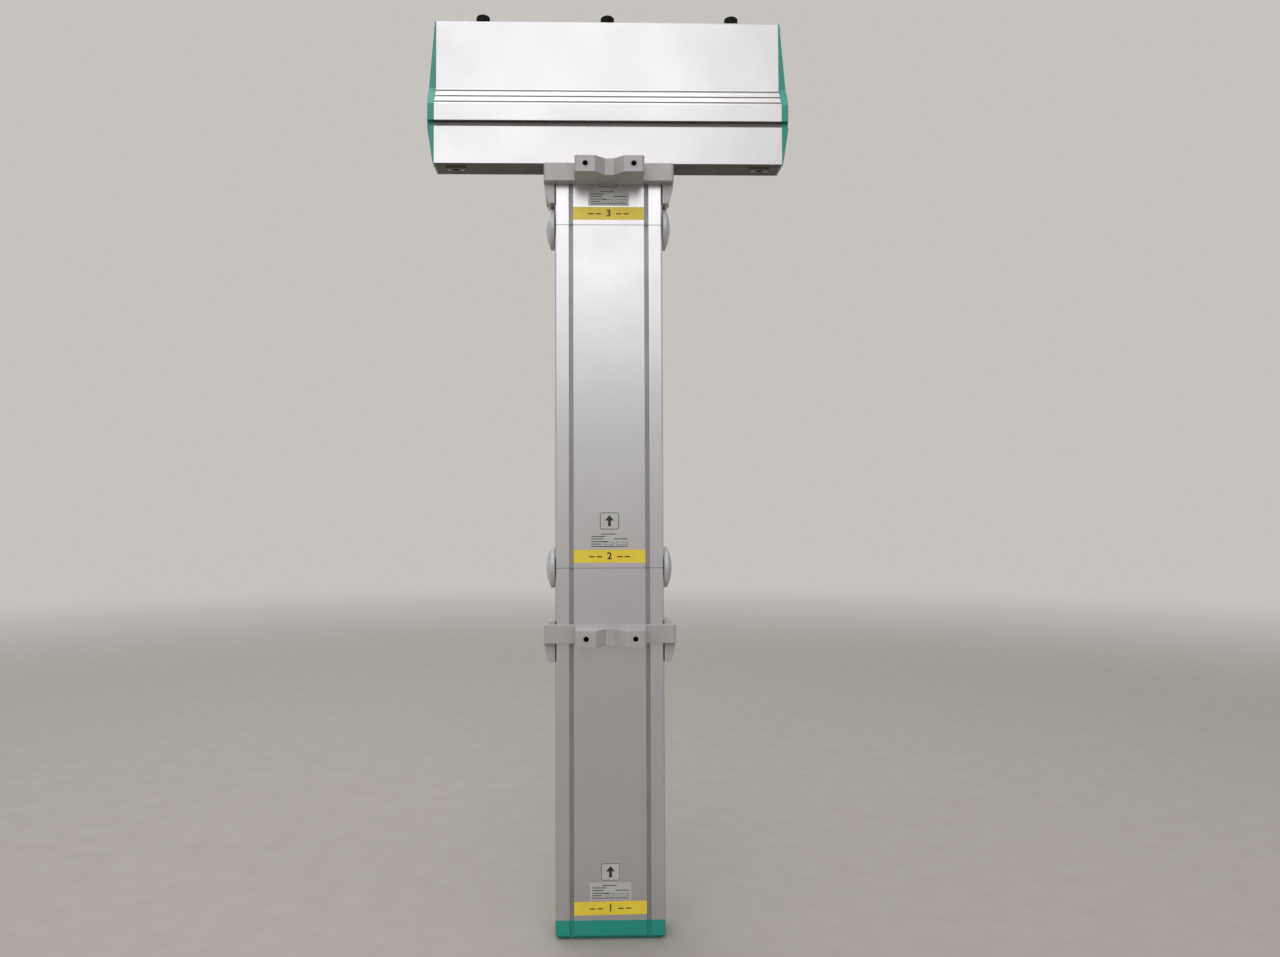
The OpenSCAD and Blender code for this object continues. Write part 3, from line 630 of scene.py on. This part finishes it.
@dataclass
class HeadTrim:
    """Darker strips on the floors of the head's ribs and groove, and dark sheets under it: painted shade."""

    cabinet: Cabinet
    rib_z: tuple[float, ...] = (64.5 * MM, 72.4 * MM, 80.3 * MM)
    rib_w: float = 2.36 * MM
    rib_d: float = 0.45 * MM
    slope_low: float = 61.5 * MM
    slope_high: float = 83.5 * MM
    slope_out: float = 14.0 * MM
    groove_low: float = 38.2 * MM
    groove_high: float = 44.6 * MM
    groove_d: float = 5.0 * MM
    sheet_w: float = 121.0 * MM
    sheet_d: float = 31.0 * MM
    sheet_t: float = 0.15 * MM
    sheet_r: float = 1.5 * MM
    sheet_in: float = 0.6 * MM
    sheet_back: float = 1.0 * MM

    def build(self) -> None:
        """Lays every strip and sheet."""
        low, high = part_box("head_lower_profile")
        width = high.x - low.x
        take = self.cabinet.take
        rise = self.slope_high - self.slope_low
        lean = math.atan2(self.slope_out, rise)
        # Each rib's darker floor strip is painted shade in the rib.
        for number, z in enumerate(self.rib_z, start=1):
            y = low.y + self.slope_out * (z - self.slope_low) / rise
            tilt = Matrix.Rotation(-lean, 4, "X")
            place = Matrix.Translation((0, y, low.z + z)) @ tilt @ rear_plane(0, self.rib_d, 0)
            outline = rectangle(-width / 2, -self.rib_w / 2, width / 2, self.rib_w / 2)
            mesh_object(plates_mesh(f"rib_painted_shade_{number}", [outline], place, self.sheet_t),
                        take(ANODISED_SHADE))
        # The groove's darker floor strip is painted shade in the groove.
        outline = rectangle(-width / 2, self.groove_low, width / 2, self.groove_high)
        place = rear_plane(0, low.y + self.groove_d, low.z)
        mesh_object(plates_mesh("head_groove_painted_shade", [outline], place, self.sheet_t), take(ANODISED_SHADE))
        # The dark sheets under the head are painted shade on its underside.
        outline = rounded_outline(self.sheet_w, self.sheet_d, self.sheet_r)
        for side, sign in zip(SIDES, (-1, 1)):
            x = sign * (width / 2 - self.sheet_w / 2 - self.sheet_in)
            y = low.y + self.sheet_d / 2 + self.sheet_back
            place = Matrix.Translation((x, y, low.z - GAP)) @ Matrix.Rotation(math.pi, 4, "X")
            mesh_object(plates_mesh(f"underside_painted_shade_{side}", [outline], place, self.sheet_t),
                        take(SHEET_PAINTED_SHADE))


@dataclass
class ControlFace:
    """The docking side's panel: bezel, bay fields, key signs and lamps."""

    cabinet: Cabinet
    bezel_w: float = 2.4 * MM
    bezel_t: float = 0.6 * MM
    print_t: float = 0.04 * MM
    lamp_r: float = 2.2 * MM
    lamp_rise: float = 18 * MM
    field_line: float = 0.5 * MM
    number_h: float = 8 * MM
    # The window's own flange stands out this far past its face, on both sides together
    flange: float = 6 * MM

    def build(self) -> None:
        """Builds every piece on the panel's face."""
        low, high, middle = span("display_window")
        panel_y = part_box("head_front_panel")[1].y
        w, h = high.x - low.x - self.flange, high.z - low.z - self.flange
        self._bezel(middle, panel_y, w, h)
        self._fields(middle, high.y, w, h)
        self._key_signs()
        self._lamps(panel_y)

    def _bezel(self, middle: Vector, y: float, w: float, h: float) -> None:
        """Builds the thin frame round the window."""
        outer = rounded_outline(w + 2 * self.bezel_w, h + 2 * self.bezel_w, 4 * MM)
        inner = rounded_outline(w + 0.4 * MM, h + 0.4 * MM, 1.6 * MM)
        brow = rounded_outline(w + 1.6 * self.bezel_w, h + 1.6 * self.bezel_w, 3.6 * MM)
        t = self.bezel_t
        place = front_plane(middle.x, y + GAP, middle.z)
        bm = ring_band([[place @ Vector((u, v, lift)) for u, v in ring] for ring, lift in
                        ((outer, 0), (outer, t * 0.6), (brow, t), (inner, t), (inner, 0))])
        bmesh.ops.recalc_face_normals(bm, faces=bm.faces)
        mesh_object(mesh_from(bm, "display_bezel"), self.cabinet.take(NYLON_BLACK))

    def _fields(self, middle: Vector, y: float, w: float, h: float) -> None:
        """Shows one numbered field for each bay behind the window's face."""
        t, glow = self.field_line, self.cabinet.take(DISPLAY_GLOW)
        step = w / (BAYS + 0.6)
        fw, fh = step * 0.8, h * 0.5
        place = front_plane(middle.x, y + GAP, middle.z)
        for n in range(1, BAYS + 1):
            u = (n - (BAYS + 1) / 2) * step
            rim = [rectangle(u - fw / 2, v - t / 2, u + fw / 2, v + t / 2) for v in (-fh / 2, fh / 2)]
            mesh_object(plates_mesh(f"bay_field_{n}", rim, place, self.print_t), glow)
            spot = place @ Matrix.Translation((u, 0, 0))
            mesh = glyph_mesh(f"bay_field_number_{n}", str(n), self.number_h, spot, self.print_t)
            mesh_object(mesh, glow)

    def _key_signs(self) -> None:
        """Prints a ring-and-bar sign on the power key and a struck-out circle on the silence key."""
        for key, split in (("power_key", True), ("silence_key", False)):
            _, high, middle = span(key)
            place = front_plane(middle.x, high.y + GAP, middle.z)
            parts = []
            steps, r0, r1 = 40, 3.1 * MM, 3.8 * MM
            for i in range(steps):
                a0, a1 = math.tau * i / steps, math.tau * (i + 1) / steps
                if split and math.sin((a0 + a1) / 2) > 0.80:
                    continue
                parts.append([(r0 * math.cos(a0), r0 * math.sin(a0)), (r1 * math.cos(a0), r1 * math.sin(a0)),
                              (r1 * math.cos(a1), r1 * math.sin(a1)), (r0 * math.cos(a1), r0 * math.sin(a1))])
            half = 0.4 * MM
            if split:
                parts.append(rectangle(-half, 0.6 * MM, half, 4.4 * MM))
            else:
                d = r0 / math.sqrt(2)
                parts.append([(-d - half / 2, -d + half / 2), (-d + half / 2, -d - half / 2),
                              (d + half / 2, d - half / 2), (d - half / 2, d + half / 2)])
            finish = PRINT_WHITE if split else INK
            mesh = plates_mesh(f"{key}_sign", parts, place, self.print_t)
            mesh_object(mesh, self.cabinet.take(finish), key)

    def _lamps(self, y: float) -> None:
        """Adds a small domed lamp above each key."""
        r = self.lamp_r
        profile = [(0, -0.5 * MM), (r, -0.5 * MM)]
        profile += [(r * math.cos(a), 0.55 * r * math.sin(a)) for a in (0.0, 0.4, 0.8, 1.2)] + [(0, 0.55 * r)]
        for key, finish in (("power_key", LAMP_GREEN), ("silence_key", LAMP_AMBER)):
            middle = span(key)[2]
            place = front_plane(middle.x, y, middle.z + self.lamp_rise)
            mesh = lathe_mesh(f"{key}_lamp", profile, [place], 30)
            mesh_object(mesh, self.cabinet.take(finish))


@dataclass
class BayNumbers:
    """A small numbered plate beside each release catch."""

    cabinet: Cabinet
    rise: float = 24.0 * MM
    plate_w: float = 16.0 * MM
    plate_h: float = 10.0 * MM
    plate_r: float = 1.5 * MM
    film_t: float = 0.15 * MM
    number_h: float = 6.5 * MM
    ink_t: float = 0.03 * MM

    def build(self) -> None:
        """Builds the plates and their numbers."""
        face_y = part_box("stub_front_cover")[1].y
        outline = rounded_outline(self.plate_w, self.plate_h, self.plate_r)
        for n in range(1, BAYS + 1):
            middle = span(f"release_catch_{n}")[2]
            place = front_plane(middle.x, face_y + GAP, middle.z + self.rise)
            mesh = plates_mesh(f"bay_plate_{n}", [outline], place, self.film_t)
            mesh_object(mesh, self.cabinet.take(FILM_PALE))
            lifted = place @ Matrix.Translation((0, 0, self.film_t))
            mesh = glyph_mesh(f"bay_number_{n}", str(n), self.number_h, lifted, self.ink_t)
            mesh_object(mesh, self.cabinet.take(INK))


@dataclass
class ThreadInserts:
    """Steel thread inserts in the pole brackets' tapped holes."""

    cabinet: Cabinet
    pitch: float = 1.0 * MM
    crest_r: float = 2.1 * MM
    collar_r: float = 3.7 * MM
    collar_t: float = 0.35 * MM
    play: float = 0.02 * MM
    depth: float = 15.8 * MM

    def build(self) -> None:
        """Puts an insert into each hole that the bolt mounts state."""
        for mount in frame["record"]["mounts"]:
            if mount["kind"] != "bolt_pattern":
                continue
            at = Vector(mount["pos_m"])
            half = mount["dims"]["spacing_x_mm"] * MM / 2
            level = mount["name"].split("_")[0]
            places = [rear_plane(at.x + s * half, at.y, at.z) for s in (-1, 1)]
            self._insert(level, mount["dims"]["hole_r_mm"] * MM - self.play, places)

    def _insert(self, level: str, r: float, places: list[Matrix]) -> None:
        """Builds one bracket's collars and threads.

        Args:
            level: Lower or upper.
            r: Radius that fits the hole.
            places: Planes at the mouths, outward along w.
        """
        turns = int(self.depth / self.pitch) - 1
        profile = [(0, -self.depth), (r, -self.depth), (r, 0)]
        for i in range(turns):
            profile += [(self.crest_r, -(i + 0.5) * self.pitch), (r * 0.98, -(i + 1) * self.pitch)]
        profile += [(self.crest_r, -turns * self.pitch - 0.2 * MM), (0, -turns * self.pitch - 0.4 * MM)]
        mesh = lathe_mesh(f"thread_{level}", profile, places, 30)
        mesh_object(mesh, self.cabinet.take(THREAD_STEEL))
        t = self.collar_t
        ring = [(r, GAP), (self.collar_r, GAP), (self.collar_r, t * 0.6), (self.collar_r - 0.2 * MM, t),
                (self.collar_r - 0.4 * MM, t), (r, GAP)]
        mesh = lathe_mesh(f"insert_collar_{level}", ring, places, 36)
        mesh_object(mesh, self.cabinet.take(CAST))


@dataclass
class Screws:
    """Socket-head screws that stand for the plain ones, each at its own place."""

    cabinet: Cabinet

    def build(self) -> None:
        """Rebuilds the three groups of screws with hexagon sockets."""
        self._group("panel_screws", 1.3 * MM, 1.1 * MM, 0.25 * MM)
        self._group("frame_screws", 1.9 * MM, 1.9 * MM, 0.15 * MM)
        self._group("socket_screws", 0.65 * MM, 0.6 * MM, 0.1 * MM)

    def _group(self, node: str, socket_r: float, socket_d: float, round_r: float) -> None:
        """Replaces one group of screws.

        Args:
            node: The CAD node that holds the group.
            socket_r: Radius over the hexagon's corners.
            socket_d: Depth of the hexagon.
            round_r: Rounding of the head's rim.
        """
        bm = bmesh.new()
        for points in islands(node):
            low = Vector([min(p[i] for p in points) for i in range(3)])
            high = Vector([max(p[i] for p in points) for i in range(3)])
            axis = max(range(3), key=lambda i: high[i] - low[i])
            middle = (low + high) / 2
            others = [i for i in range(3) if i != axis]
            radius = [(math.hypot(*[p[i] - middle[i] for i in others]), p[axis]) for p in points]
            head_r = max(r for r, _ in radius)
            rim = [w for r, w in radius if r > 0.98 * head_r]
            sign = 1 if sum(rim) / len(rim) > middle[axis] else -1
            top = high[axis] if sign > 0 else low[axis]
            outward = Vector([sign if i == axis else 0 for i in range(3)])
            origin = middle.copy()
            origin[axis] = top
            place = Matrix.Translation(origin) @ outward.to_track_quat("Z", "Y").to_matrix().to_4x4()
            levels = sorted({(round(-abs(top - w), 6), round(r, 6)) for r, w in radius if r > 1e-5})
            profile = [(0, levels[0][0])] + [(r, w) for w, r in self._silhouette(levels)]
            flat_r = profile[-1][0]
            profile[-1] = (flat_r, -round_r * 0.3)
            profile += [(max(flat_r - round_r, socket_r * 1.15), 0), (socket_r * 1.02, 0),
                        (socket_r, -0.05 * MM), (socket_r * 0.98, -socket_d), (0, -socket_d * 1.15)]
            part = lathe_mesh("screw", profile, [place], 24, hex_from=len(profile) - 4)
            bm.from_mesh(part)
            bpy.data.meshes.remove(part)
        mesh = mesh_from(bm, f"{node}_socketed")
        mesh.set_sharp_from_angle(angle=CRISP)
        piece = mesh_object(mesh, self.cabinet.take(ZINC))
        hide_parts(node)

    def _silhouette(self, levels: list[Point]) -> list[Point]:
        """Keeps the outer points of a turned outline, from the tip to the head's top.

        Args:
            levels: Points (w, radius), rising.

        Returns:
            The same points with the shoulder under the head in the right order.
        """
        heights = sorted({w for w, _ in levels})
        kept: list[Point] = []
        last = 0.0
        for w in heights:
            here = sorted(r for v, r in levels if v == w)
            if abs(here[0] - last) > abs(here[-1] - last):
                here.reverse()
            kept += [(w, r) for r in ([here[0], here[-1]] if len(here) > 1 else here)]
            last = kept[-1][1]
        return kept


@dataclass
class SeamLocks:
    """Four eccentric locks that draw the modules together."""

    cabinet: Cabinet

    def build(self) -> None:
        """Dresses discs, shafts and bushes."""
        names = [f"{level}_{side}" for level in LEVELS for side in SIDES]
        self.cabinet.dress(LACQUERED, *[f"lock_disc_{n}" for n in names])
        self.cabinet.dress(ZINC, *[f"lock_shaft_{n}" for n in names])
        self.cabinet.dress(BRONZE, "lock_bushes")


@dataclass
class DockingBays:
    """What the pumps meet: contact blocks, catches and their springs."""

    cabinet: Cabinet

    def build(self) -> None:
        """Dresses the bays' nodes."""
        dress = self.cabinet.dress
        numbers = range(1, BAYS + 1)
        dress(ABS_GREEN, *[f"release_catch_{n}" for n in numbers])
        dress(SPRING_WIRE, *[f"catch_spring_{n}" for n in numbers])
        dress(NYLON_BLACK, "catch_guides", "lower_contact_blocks", "upper_contact_blocks")
        dress(GOLD, "contact_pins")
        dress(BOARD, "lower_backplane", "upper_backplane")


@dataclass
class CatchSprings:
    """Coil springs behind the release catches, one for each catch."""

    cabinet: Cabinet
    wire_r: float = 0.7 * MM
    turns: float = 5.5
    travel: float = 6.0 * MM
    steps: int = 24
    sides: int = 10

    def build(self) -> None:
        """Winds one spring for each catch."""
        for n in range(1, BAYS + 1):
            low, high, middle = span(f"catch_spring_{n}")
            mesh = self._coil(f"coil_spring_{n}", low, high)
            piece = mesh_object(mesh, self.cabinet.take(SPRING_WIRE))
            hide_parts(f"catch_spring_{n}")
            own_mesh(piece)

    def _coil(self, name: str, low: Vector, high: Vector) -> bpy.types.Mesh:
        """Sweeps round wire along a helix.

        Args:
            name: Name of the mesh.
            low: Lowest corner of the spring's box.
            high: Its highest corner.

        Returns:
            The closed coil.
        """
        middle = (low + high) / 2
        coil_r = (high.x - low.x) / 2 - self.wire_r
        rise = high.y - low.y - 2 * self.wire_r
        count = round(self.turns * self.steps)
        along = Vector((0, 1, 0))
        turned = [math.tau * k / self.sides for k in range(self.sides)]
        bm = bmesh.new()
        rings = []
        for i in range(count + 1):
            a = math.tau * i / self.steps
            out = Vector((math.cos(a), 0, math.sin(a)))
            centre = Vector((middle.x, low.y + self.wire_r + rise * i / count, middle.z)) + out * coil_r
            rings.append([bm.verts.new(centre + self.wire_r * (math.cos(b) * out + math.sin(b) * along))
                          for b in turned])
        for before, after in zip(rings, rings[1:]):
            for k in range(self.sides):
                m = (k + 1) % self.sides
                bm.faces.new((before[k], before[m], after[m], after[k]))
        bm.faces.new(rings[0])
        bm.faces.new(reversed(rings[-1]))
        bmesh.ops.recalc_face_normals(bm, faces=bm.faces)
        mesh = mesh_from(bm, name)
        mesh.shade_smooth()
        return mesh


@dataclass
class Head:
    """The head's extrusions, end caps, panel and what sits inside."""

    cabinet: Cabinet

    def build(self) -> None:
        """Dresses the head's nodes."""
        dress = self.cabinet.dress
        # The head's aluminium is a darker copy of the column's: painted shade.
        dress(ANODISED_HEAD, "head_upper_profile", "head_lower_profile")
        dress(ABS_GREEN, "head_end_cap_left", "head_end_cap_right", "power_key")
        dress(ABS_PALE, "head_front_panel")
        dress(ABS_YELLOW, "silence_key")
        dress(ACRYLIC, "display_window")
        dress(BOARD, "head_control_board", "head_power_board")
        dress(ZINC, "head_chassis", "display_module", "socket_screws", "thumbscrew_nuts")
        dress(SOCKET_GREY, "accessory_sockets")
        dress(NYLON_BLACK, "thumbscrew_left", "thumbscrew_centre", "thumbscrew_right")


@dataclass
class LabelSet:
    """The tape strip, type plate and outlined mark above one joint of the column."""

    cabinet: Cabinet
    number: int
    base_z: float
    face_y: float
    tape_w: float = 72.6 * MM
    tape_h: float = 13.2 * MM
    tape_rise: float = 5.3 * MM
    tilt_deg: float = 0.0
    plate_w: float = 41.7 * MM
    plate_h: float = 17.3 * MM
    plate_rise: float = 19.7 * MM
    mark_w: float = 20.0 * MM
    mark_h: float = 18.0 * MM
    mark_rise: float = 38.5 * MM
    film_t: float = 0.12 * MM
    ink_t: float = 0.03 * MM
    number_h: float = 7.0 * MM
    rule_t: float = 0.8 * MM
    frame_t: float = 0.35 * MM

    def _film(self, what: str, outline: Outline, z: float, finish: Finish, tilt: float = 0.0) -> None:
        """Adds one film on the column's face, with its middle at height z."""
        place = rear_plane(0, self.face_y - GAP, z, tilt)
        mesh = plates_mesh(f"{what}_{self.number}", [outline], place, self.film_t)
        mesh_object(mesh, self.cabinet.take(finish))

    def _ink(self, what: str, outlines: Iterable[Outline], z: float) -> None:
        """Prints flat shapes on a film, with their middle at height z."""
        place = rear_plane(0, self.face_y - GAP - self.film_t, z)
        mesh = plates_mesh(f"{what}_{self.number}", outlines, place, self.ink_t)
        mesh_object(mesh, self.cabinet.take(INK))

    def build(self) -> None:
        """Builds the three labels and their print."""
        self._tape()
        self._type_plate()
        self._mark()

    def _tape(self) -> None:
        """Builds the yellow strip with its plain number."""
        z = self.base_z + self.tape_rise + self.tape_h / 2
        outline = rounded_outline(self.tape_w, self.tape_h, 0.6 * MM)
        self._film("tape_strip", outline, z, VINYL_YELLOW, self.tilt_deg)
        place = rear_plane(0, self.face_y - GAP - self.film_t, z, self.tilt_deg)
        text = f"\u2013 \u2013  {self.number}  \u2013 \u2013"
        mesh = glyph_mesh(f"tape_number_{self.number}", text, self.number_h, place, self.ink_t)
        mesh_object(mesh, self.cabinet.take(INK))

    def _type_plate(self) -> None:
        """Builds the pale plate with blank ruled lines."""
        z = self.base_z + self.plate_rise + self.plate_h / 2
        outline = rounded_outline(self.plate_w, self.plate_h, 0.8 * MM)
        self._film("type_plate", outline, z, FILM_PALE)
        rules = []
        rows = [(0.84, 0.30, 0.64), (0.70, 0.06, 0.40), (0.56, 0.06, 0.34), (0.56, 0.62, 0.94),
                (0.40, 0.06, 0.46), (0.26, 0.06, 0.30), (0.12, 0.06, 0.94)]
        for up, start, stop in rows:
            rules.append(self._rule((start - 0.5) * self.plate_w, (stop - 0.5) * self.plate_w,
                                    (up - 0.5) * self.plate_h, self.rule_t))
        for start, stop in ((0.36, 0.60), (0.66, 0.94)):
            rules.extend(self._box_rules(start, stop, 0.22, 0.38))
        self._ink("type_plate_rules", rules, z)

    def _rule(self, u0: float, u1: float, v: float, h: float) -> list[Point]:
        """Gives one level line of thickness h."""
        return rectangle(u0, v - h / 2, u1, v + h / 2)

    def _box_rules(self, start: float, stop: float, low: float, high: float) -> list[list[Point]]:
        """Gives the four sides of an empty field, with its corners as parts of the plate's size."""
        t = self.frame_t
        u0, u1 = (start - 0.5) * self.plate_w, (stop - 0.5) * self.plate_w
        v0, v1 = (low - 0.5) * self.plate_h, (high - 0.5) * self.plate_h
        upright = [rectangle(u, v0 + t, u + t, v1 - t) for u in (u0, u1 - t)]
        return upright + [self._rule(u0, u1, v0 + t / 2, t), self._rule(u0, u1, v1 - t / 2, t)]

    def _mark(self) -> None:
        """Builds the outlined square with a plain arrow that points up."""
        z = self.base_z + self.mark_rise + self.mark_h / 2
        outer = rounded_outline(self.mark_w, self.mark_h, 2.6 * MM)
        self._film("arrow_mark", outer, z, FILM_PALE)
        line, margin = 2 * 0.55 * MM, 1.0 * MM
        inner = rounded_outline(self.mark_w - line - margin, self.mark_h - line - margin, 1.8 * MM)
        rim = rounded_outline(self.mark_w - margin, self.mark_h - margin, 2.3 * MM)
        quads = []
        for i in range(len(rim)):
            j = (i + 1) % len(rim)
            quads.append([inner[i], rim[i], rim[j], inner[j]])
        head = [(-4.6 * MM, 0.4 * MM), (4.6 * MM, 0.4 * MM), (0, 5.8 * MM)]
        stem = rectangle(-1.5 * MM, -5.4 * MM, 1.5 * MM, 0.4 * MM)
        self._ink("arrow_mark_print", quads + [head, stem], z)


# ---- studio ----------------------------------------------------------------


@dataclass
class Studio:
    """Camera, floor, world and soft lamps."""

    floor_z: float
    camera_at: Vector = field(default_factory=lambda: Vector((-0.0288, -0.9225, 0.1229)))
    pitch_up_deg: float = 2.03
    roll_deg: float = 0.149
    yaw_deg: float = -1.146
    lens_mm: float = 26.72
    shift_x: float = 0.03125
    floor_r: float = 6.0
    floor_gap: float = 0.0005

    def build(self) -> None:
        """Sets the whole studio up."""
        scene = bpy.context.scene
        scene.view_settings.view_transform = "Standard"
        self._camera()
        self._world()
        self._floor()
        self._lamp("overhead", Vector((-0.3, -0.1, 2.6)), Vector((0, 0, 0.35)), 1.7, 18)
        self._lamp("softbox", Vector((-0.2, -1.9, 1.55)), Vector((0, 0, 0.5)), 1.8, 14)
        self._lamp("fill_right", Vector((1.9, -1.1, 0.9)), Vector((0, 0, 0.3)), 1.6, 0.8)
        self._lamp("front_key", Vector((-0.8, 1.6, 1.9)), Vector((0, 0, 0.3)), 1.8, 10)

    def _camera(self) -> None:
        """Places the camera behind the column, at half its height."""
        data = bpy.data.cameras.new("studio_camera")
        data.sensor_width = 36
        data.lens = self.lens_mm
        data.shift_x = self.shift_x
        camera = link(bpy.data.objects.new("studio_camera", data))
        camera.location = self.camera_at
        angles = (90 + self.pitch_up_deg, self.roll_deg, self.yaw_deg)
        camera.rotation_euler = Euler([math.radians(a) for a in angles])
        bpy.context.scene.camera = camera

    def _world(self) -> None:
        """Makes a room that is pale above and darker towards the floor, and plain to the camera."""
        world = bpy.data.worlds.new("studio_room")
        bpy.context.scene.world = world
        tree = new_tree(world)
        direction = add(tree, "ShaderNodeTexCoord").outputs["Generated"]
        parts = add(tree, "ShaderNodeSeparateXYZ", Vector=direction).outputs
        height = add(tree, "ShaderNodeMapRange", {"in:From Min": -1.0, "in:From Max": 1.0}, Value=parts["Z"])
        right = add(tree, "ShaderNodeMapRange", {"in:From Min": 0.1, "in:From Max": 0.9, "in:To Min": 1.1,
                                                 "in:To Max": 0.5}, Value=parts["X"])
        ramp = add(tree, "ShaderNodeValToRGB", Fac=height.outputs[0])
        stops = [(0.0, "54504d"), (0.42, "5c5855"), (0.48, "7e7a77"), (0.525, "cac8c7"), (0.57, "fbfafb"),
                 (0.75, "fbfafb"), (1.0, "a4a4a6")]
        band = ramp.color_ramp
        band.elements[0].position, band.elements[0].color = stops[0][0], srgb(stops[0][1])
        band.elements[1].position, band.elements[1].color = stops[-1][0], srgb(stops[-1][1])
        for at, code in stops[1:-1]:
            band.elements.new(at).color = srgb(code)
        room = add(tree, "ShaderNodeBackground", Color=ramp.outputs[0], Strength=right.outputs[0])
        plain = add(tree, "ShaderNodeBackground", {"in:Color": srgb("c6c3bf"), "in:Strength": 1.0})
        path = add(tree, "ShaderNodeLightPath").outputs
        seen = add(tree, "ShaderNodeMath", {"operation": "MAXIMUM"},
                   _0=path["Is Camera Ray"], _1=path["Is Glossy Ray"])
        shown = add(tree, "ShaderNodeMath", {"operation": "MAXIMUM"},
                    _0=seen.outputs[0], _1=path["Is Transmission Ray"])
        both = add(tree, "ShaderNodeMixShader", _0=shown.outputs[0], _1=room.outputs[0], _2=plain.outputs[0])
        add(tree, "ShaderNodeOutputWorld", Surface=both.outputs[0])

    def _floor(self) -> None:
        """Makes a pale floor whose rim fades into the background."""
        bm = bmesh.new()
        bmesh.ops.create_circle(bm, cap_ends=True, radius=self.floor_r, segments=96)
        mesh = mesh_from(bm, "studio_floor")
        floor = link(bpy.data.objects.new("studio_floor", mesh))
        floor.location.z = self.floor_z - self.floor_gap
        made = bpy.data.materials.new("pale_floor")
        tree = new_tree(made)
        place = add(tree, "ShaderNodeTexCoord").outputs["Object"]
        reach = add(tree, "ShaderNodeVectorMath", {"operation": "LENGTH"}, _0=place)
        fade = add(tree, "ShaderNodeMapRange", {"in:From Min": 1.6, "in:From Max": self.floor_r * 0.8,
                                                "interpolation_type": "SMOOTHSTEP"}, Value=reach.outputs[1])
        speck = add(tree, "ShaderNodeTexNoise", {"in:Scale": 30.0, "in:Detail": 5.0}, Vector=place)
        tone = add(tree, "ShaderNodeMix", {"data_type": "RGBA", "in:6": srgb("9d978f"),
                                           "in:7": srgb("a8a29b")}, _0=speck.outputs[0])
        face = add(tree, "ShaderNodeBsdfPrincipled", {"in:Roughness": 0.75}, Base_Color=tone.outputs[2])
        clear = add(tree, "ShaderNodeBsdfTransparent")
        both = add(tree, "ShaderNodeMixShader", _0=fade.outputs[0], _1=face.outputs[0], _2=clear.outputs[0])
        add(tree, "ShaderNodeOutputMaterial", Surface=both.outputs[0])
        mesh.materials.append(made)

    def _lamp(self, name: str, at: Vector, to: Vector, size: float, power: float) -> None:
        """Adds one soft square lamp.

        Args:
            name: The lamp's name.
            at: Where it hangs.
            to: What it points at.
            size: Length of its side.
            power: Radiant power in watts.
        """
        data = bpy.data.lights.new(name, "AREA")
        data.size = size
        data.energy = power
        lamp = link(bpy.data.objects.new(name, data))
        lamp.location = at
        lamp.rotation_euler = (to - at).to_track_quat("-Z", "Y").to_euler()


def main() -> None:
    """Dresses the model, adds the visual pieces and sets the studio up."""
    logging.basicConfig(level=logging.INFO, format="%(name)s %(message)s")
    cabinet = Cabinet()
    for part in (Column, GrooveFloors, SeamGaskets, HeadTrim, ControlFace, BayNumbers, ThreadInserts,
                 Screws, SeamLocks, DockingBays, CatchSprings, Head):
        part(cabinet).build()
    rear_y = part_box("lower_profile")[0].y
    seams = [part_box(name)[0].z for name in ("lower_profile", "upper_profile", "stub_profile")]
    for number, base in enumerate(seams, start=1):
        tilt = 0.8 if number == 1 else 0.0
        LabelSet(cabinet, number, base, rear_y, tilt_deg=tilt).build()
    Studio(floor_z=CAD_BOX[0][2]).build()


if __name__ == "__main__":
    main()
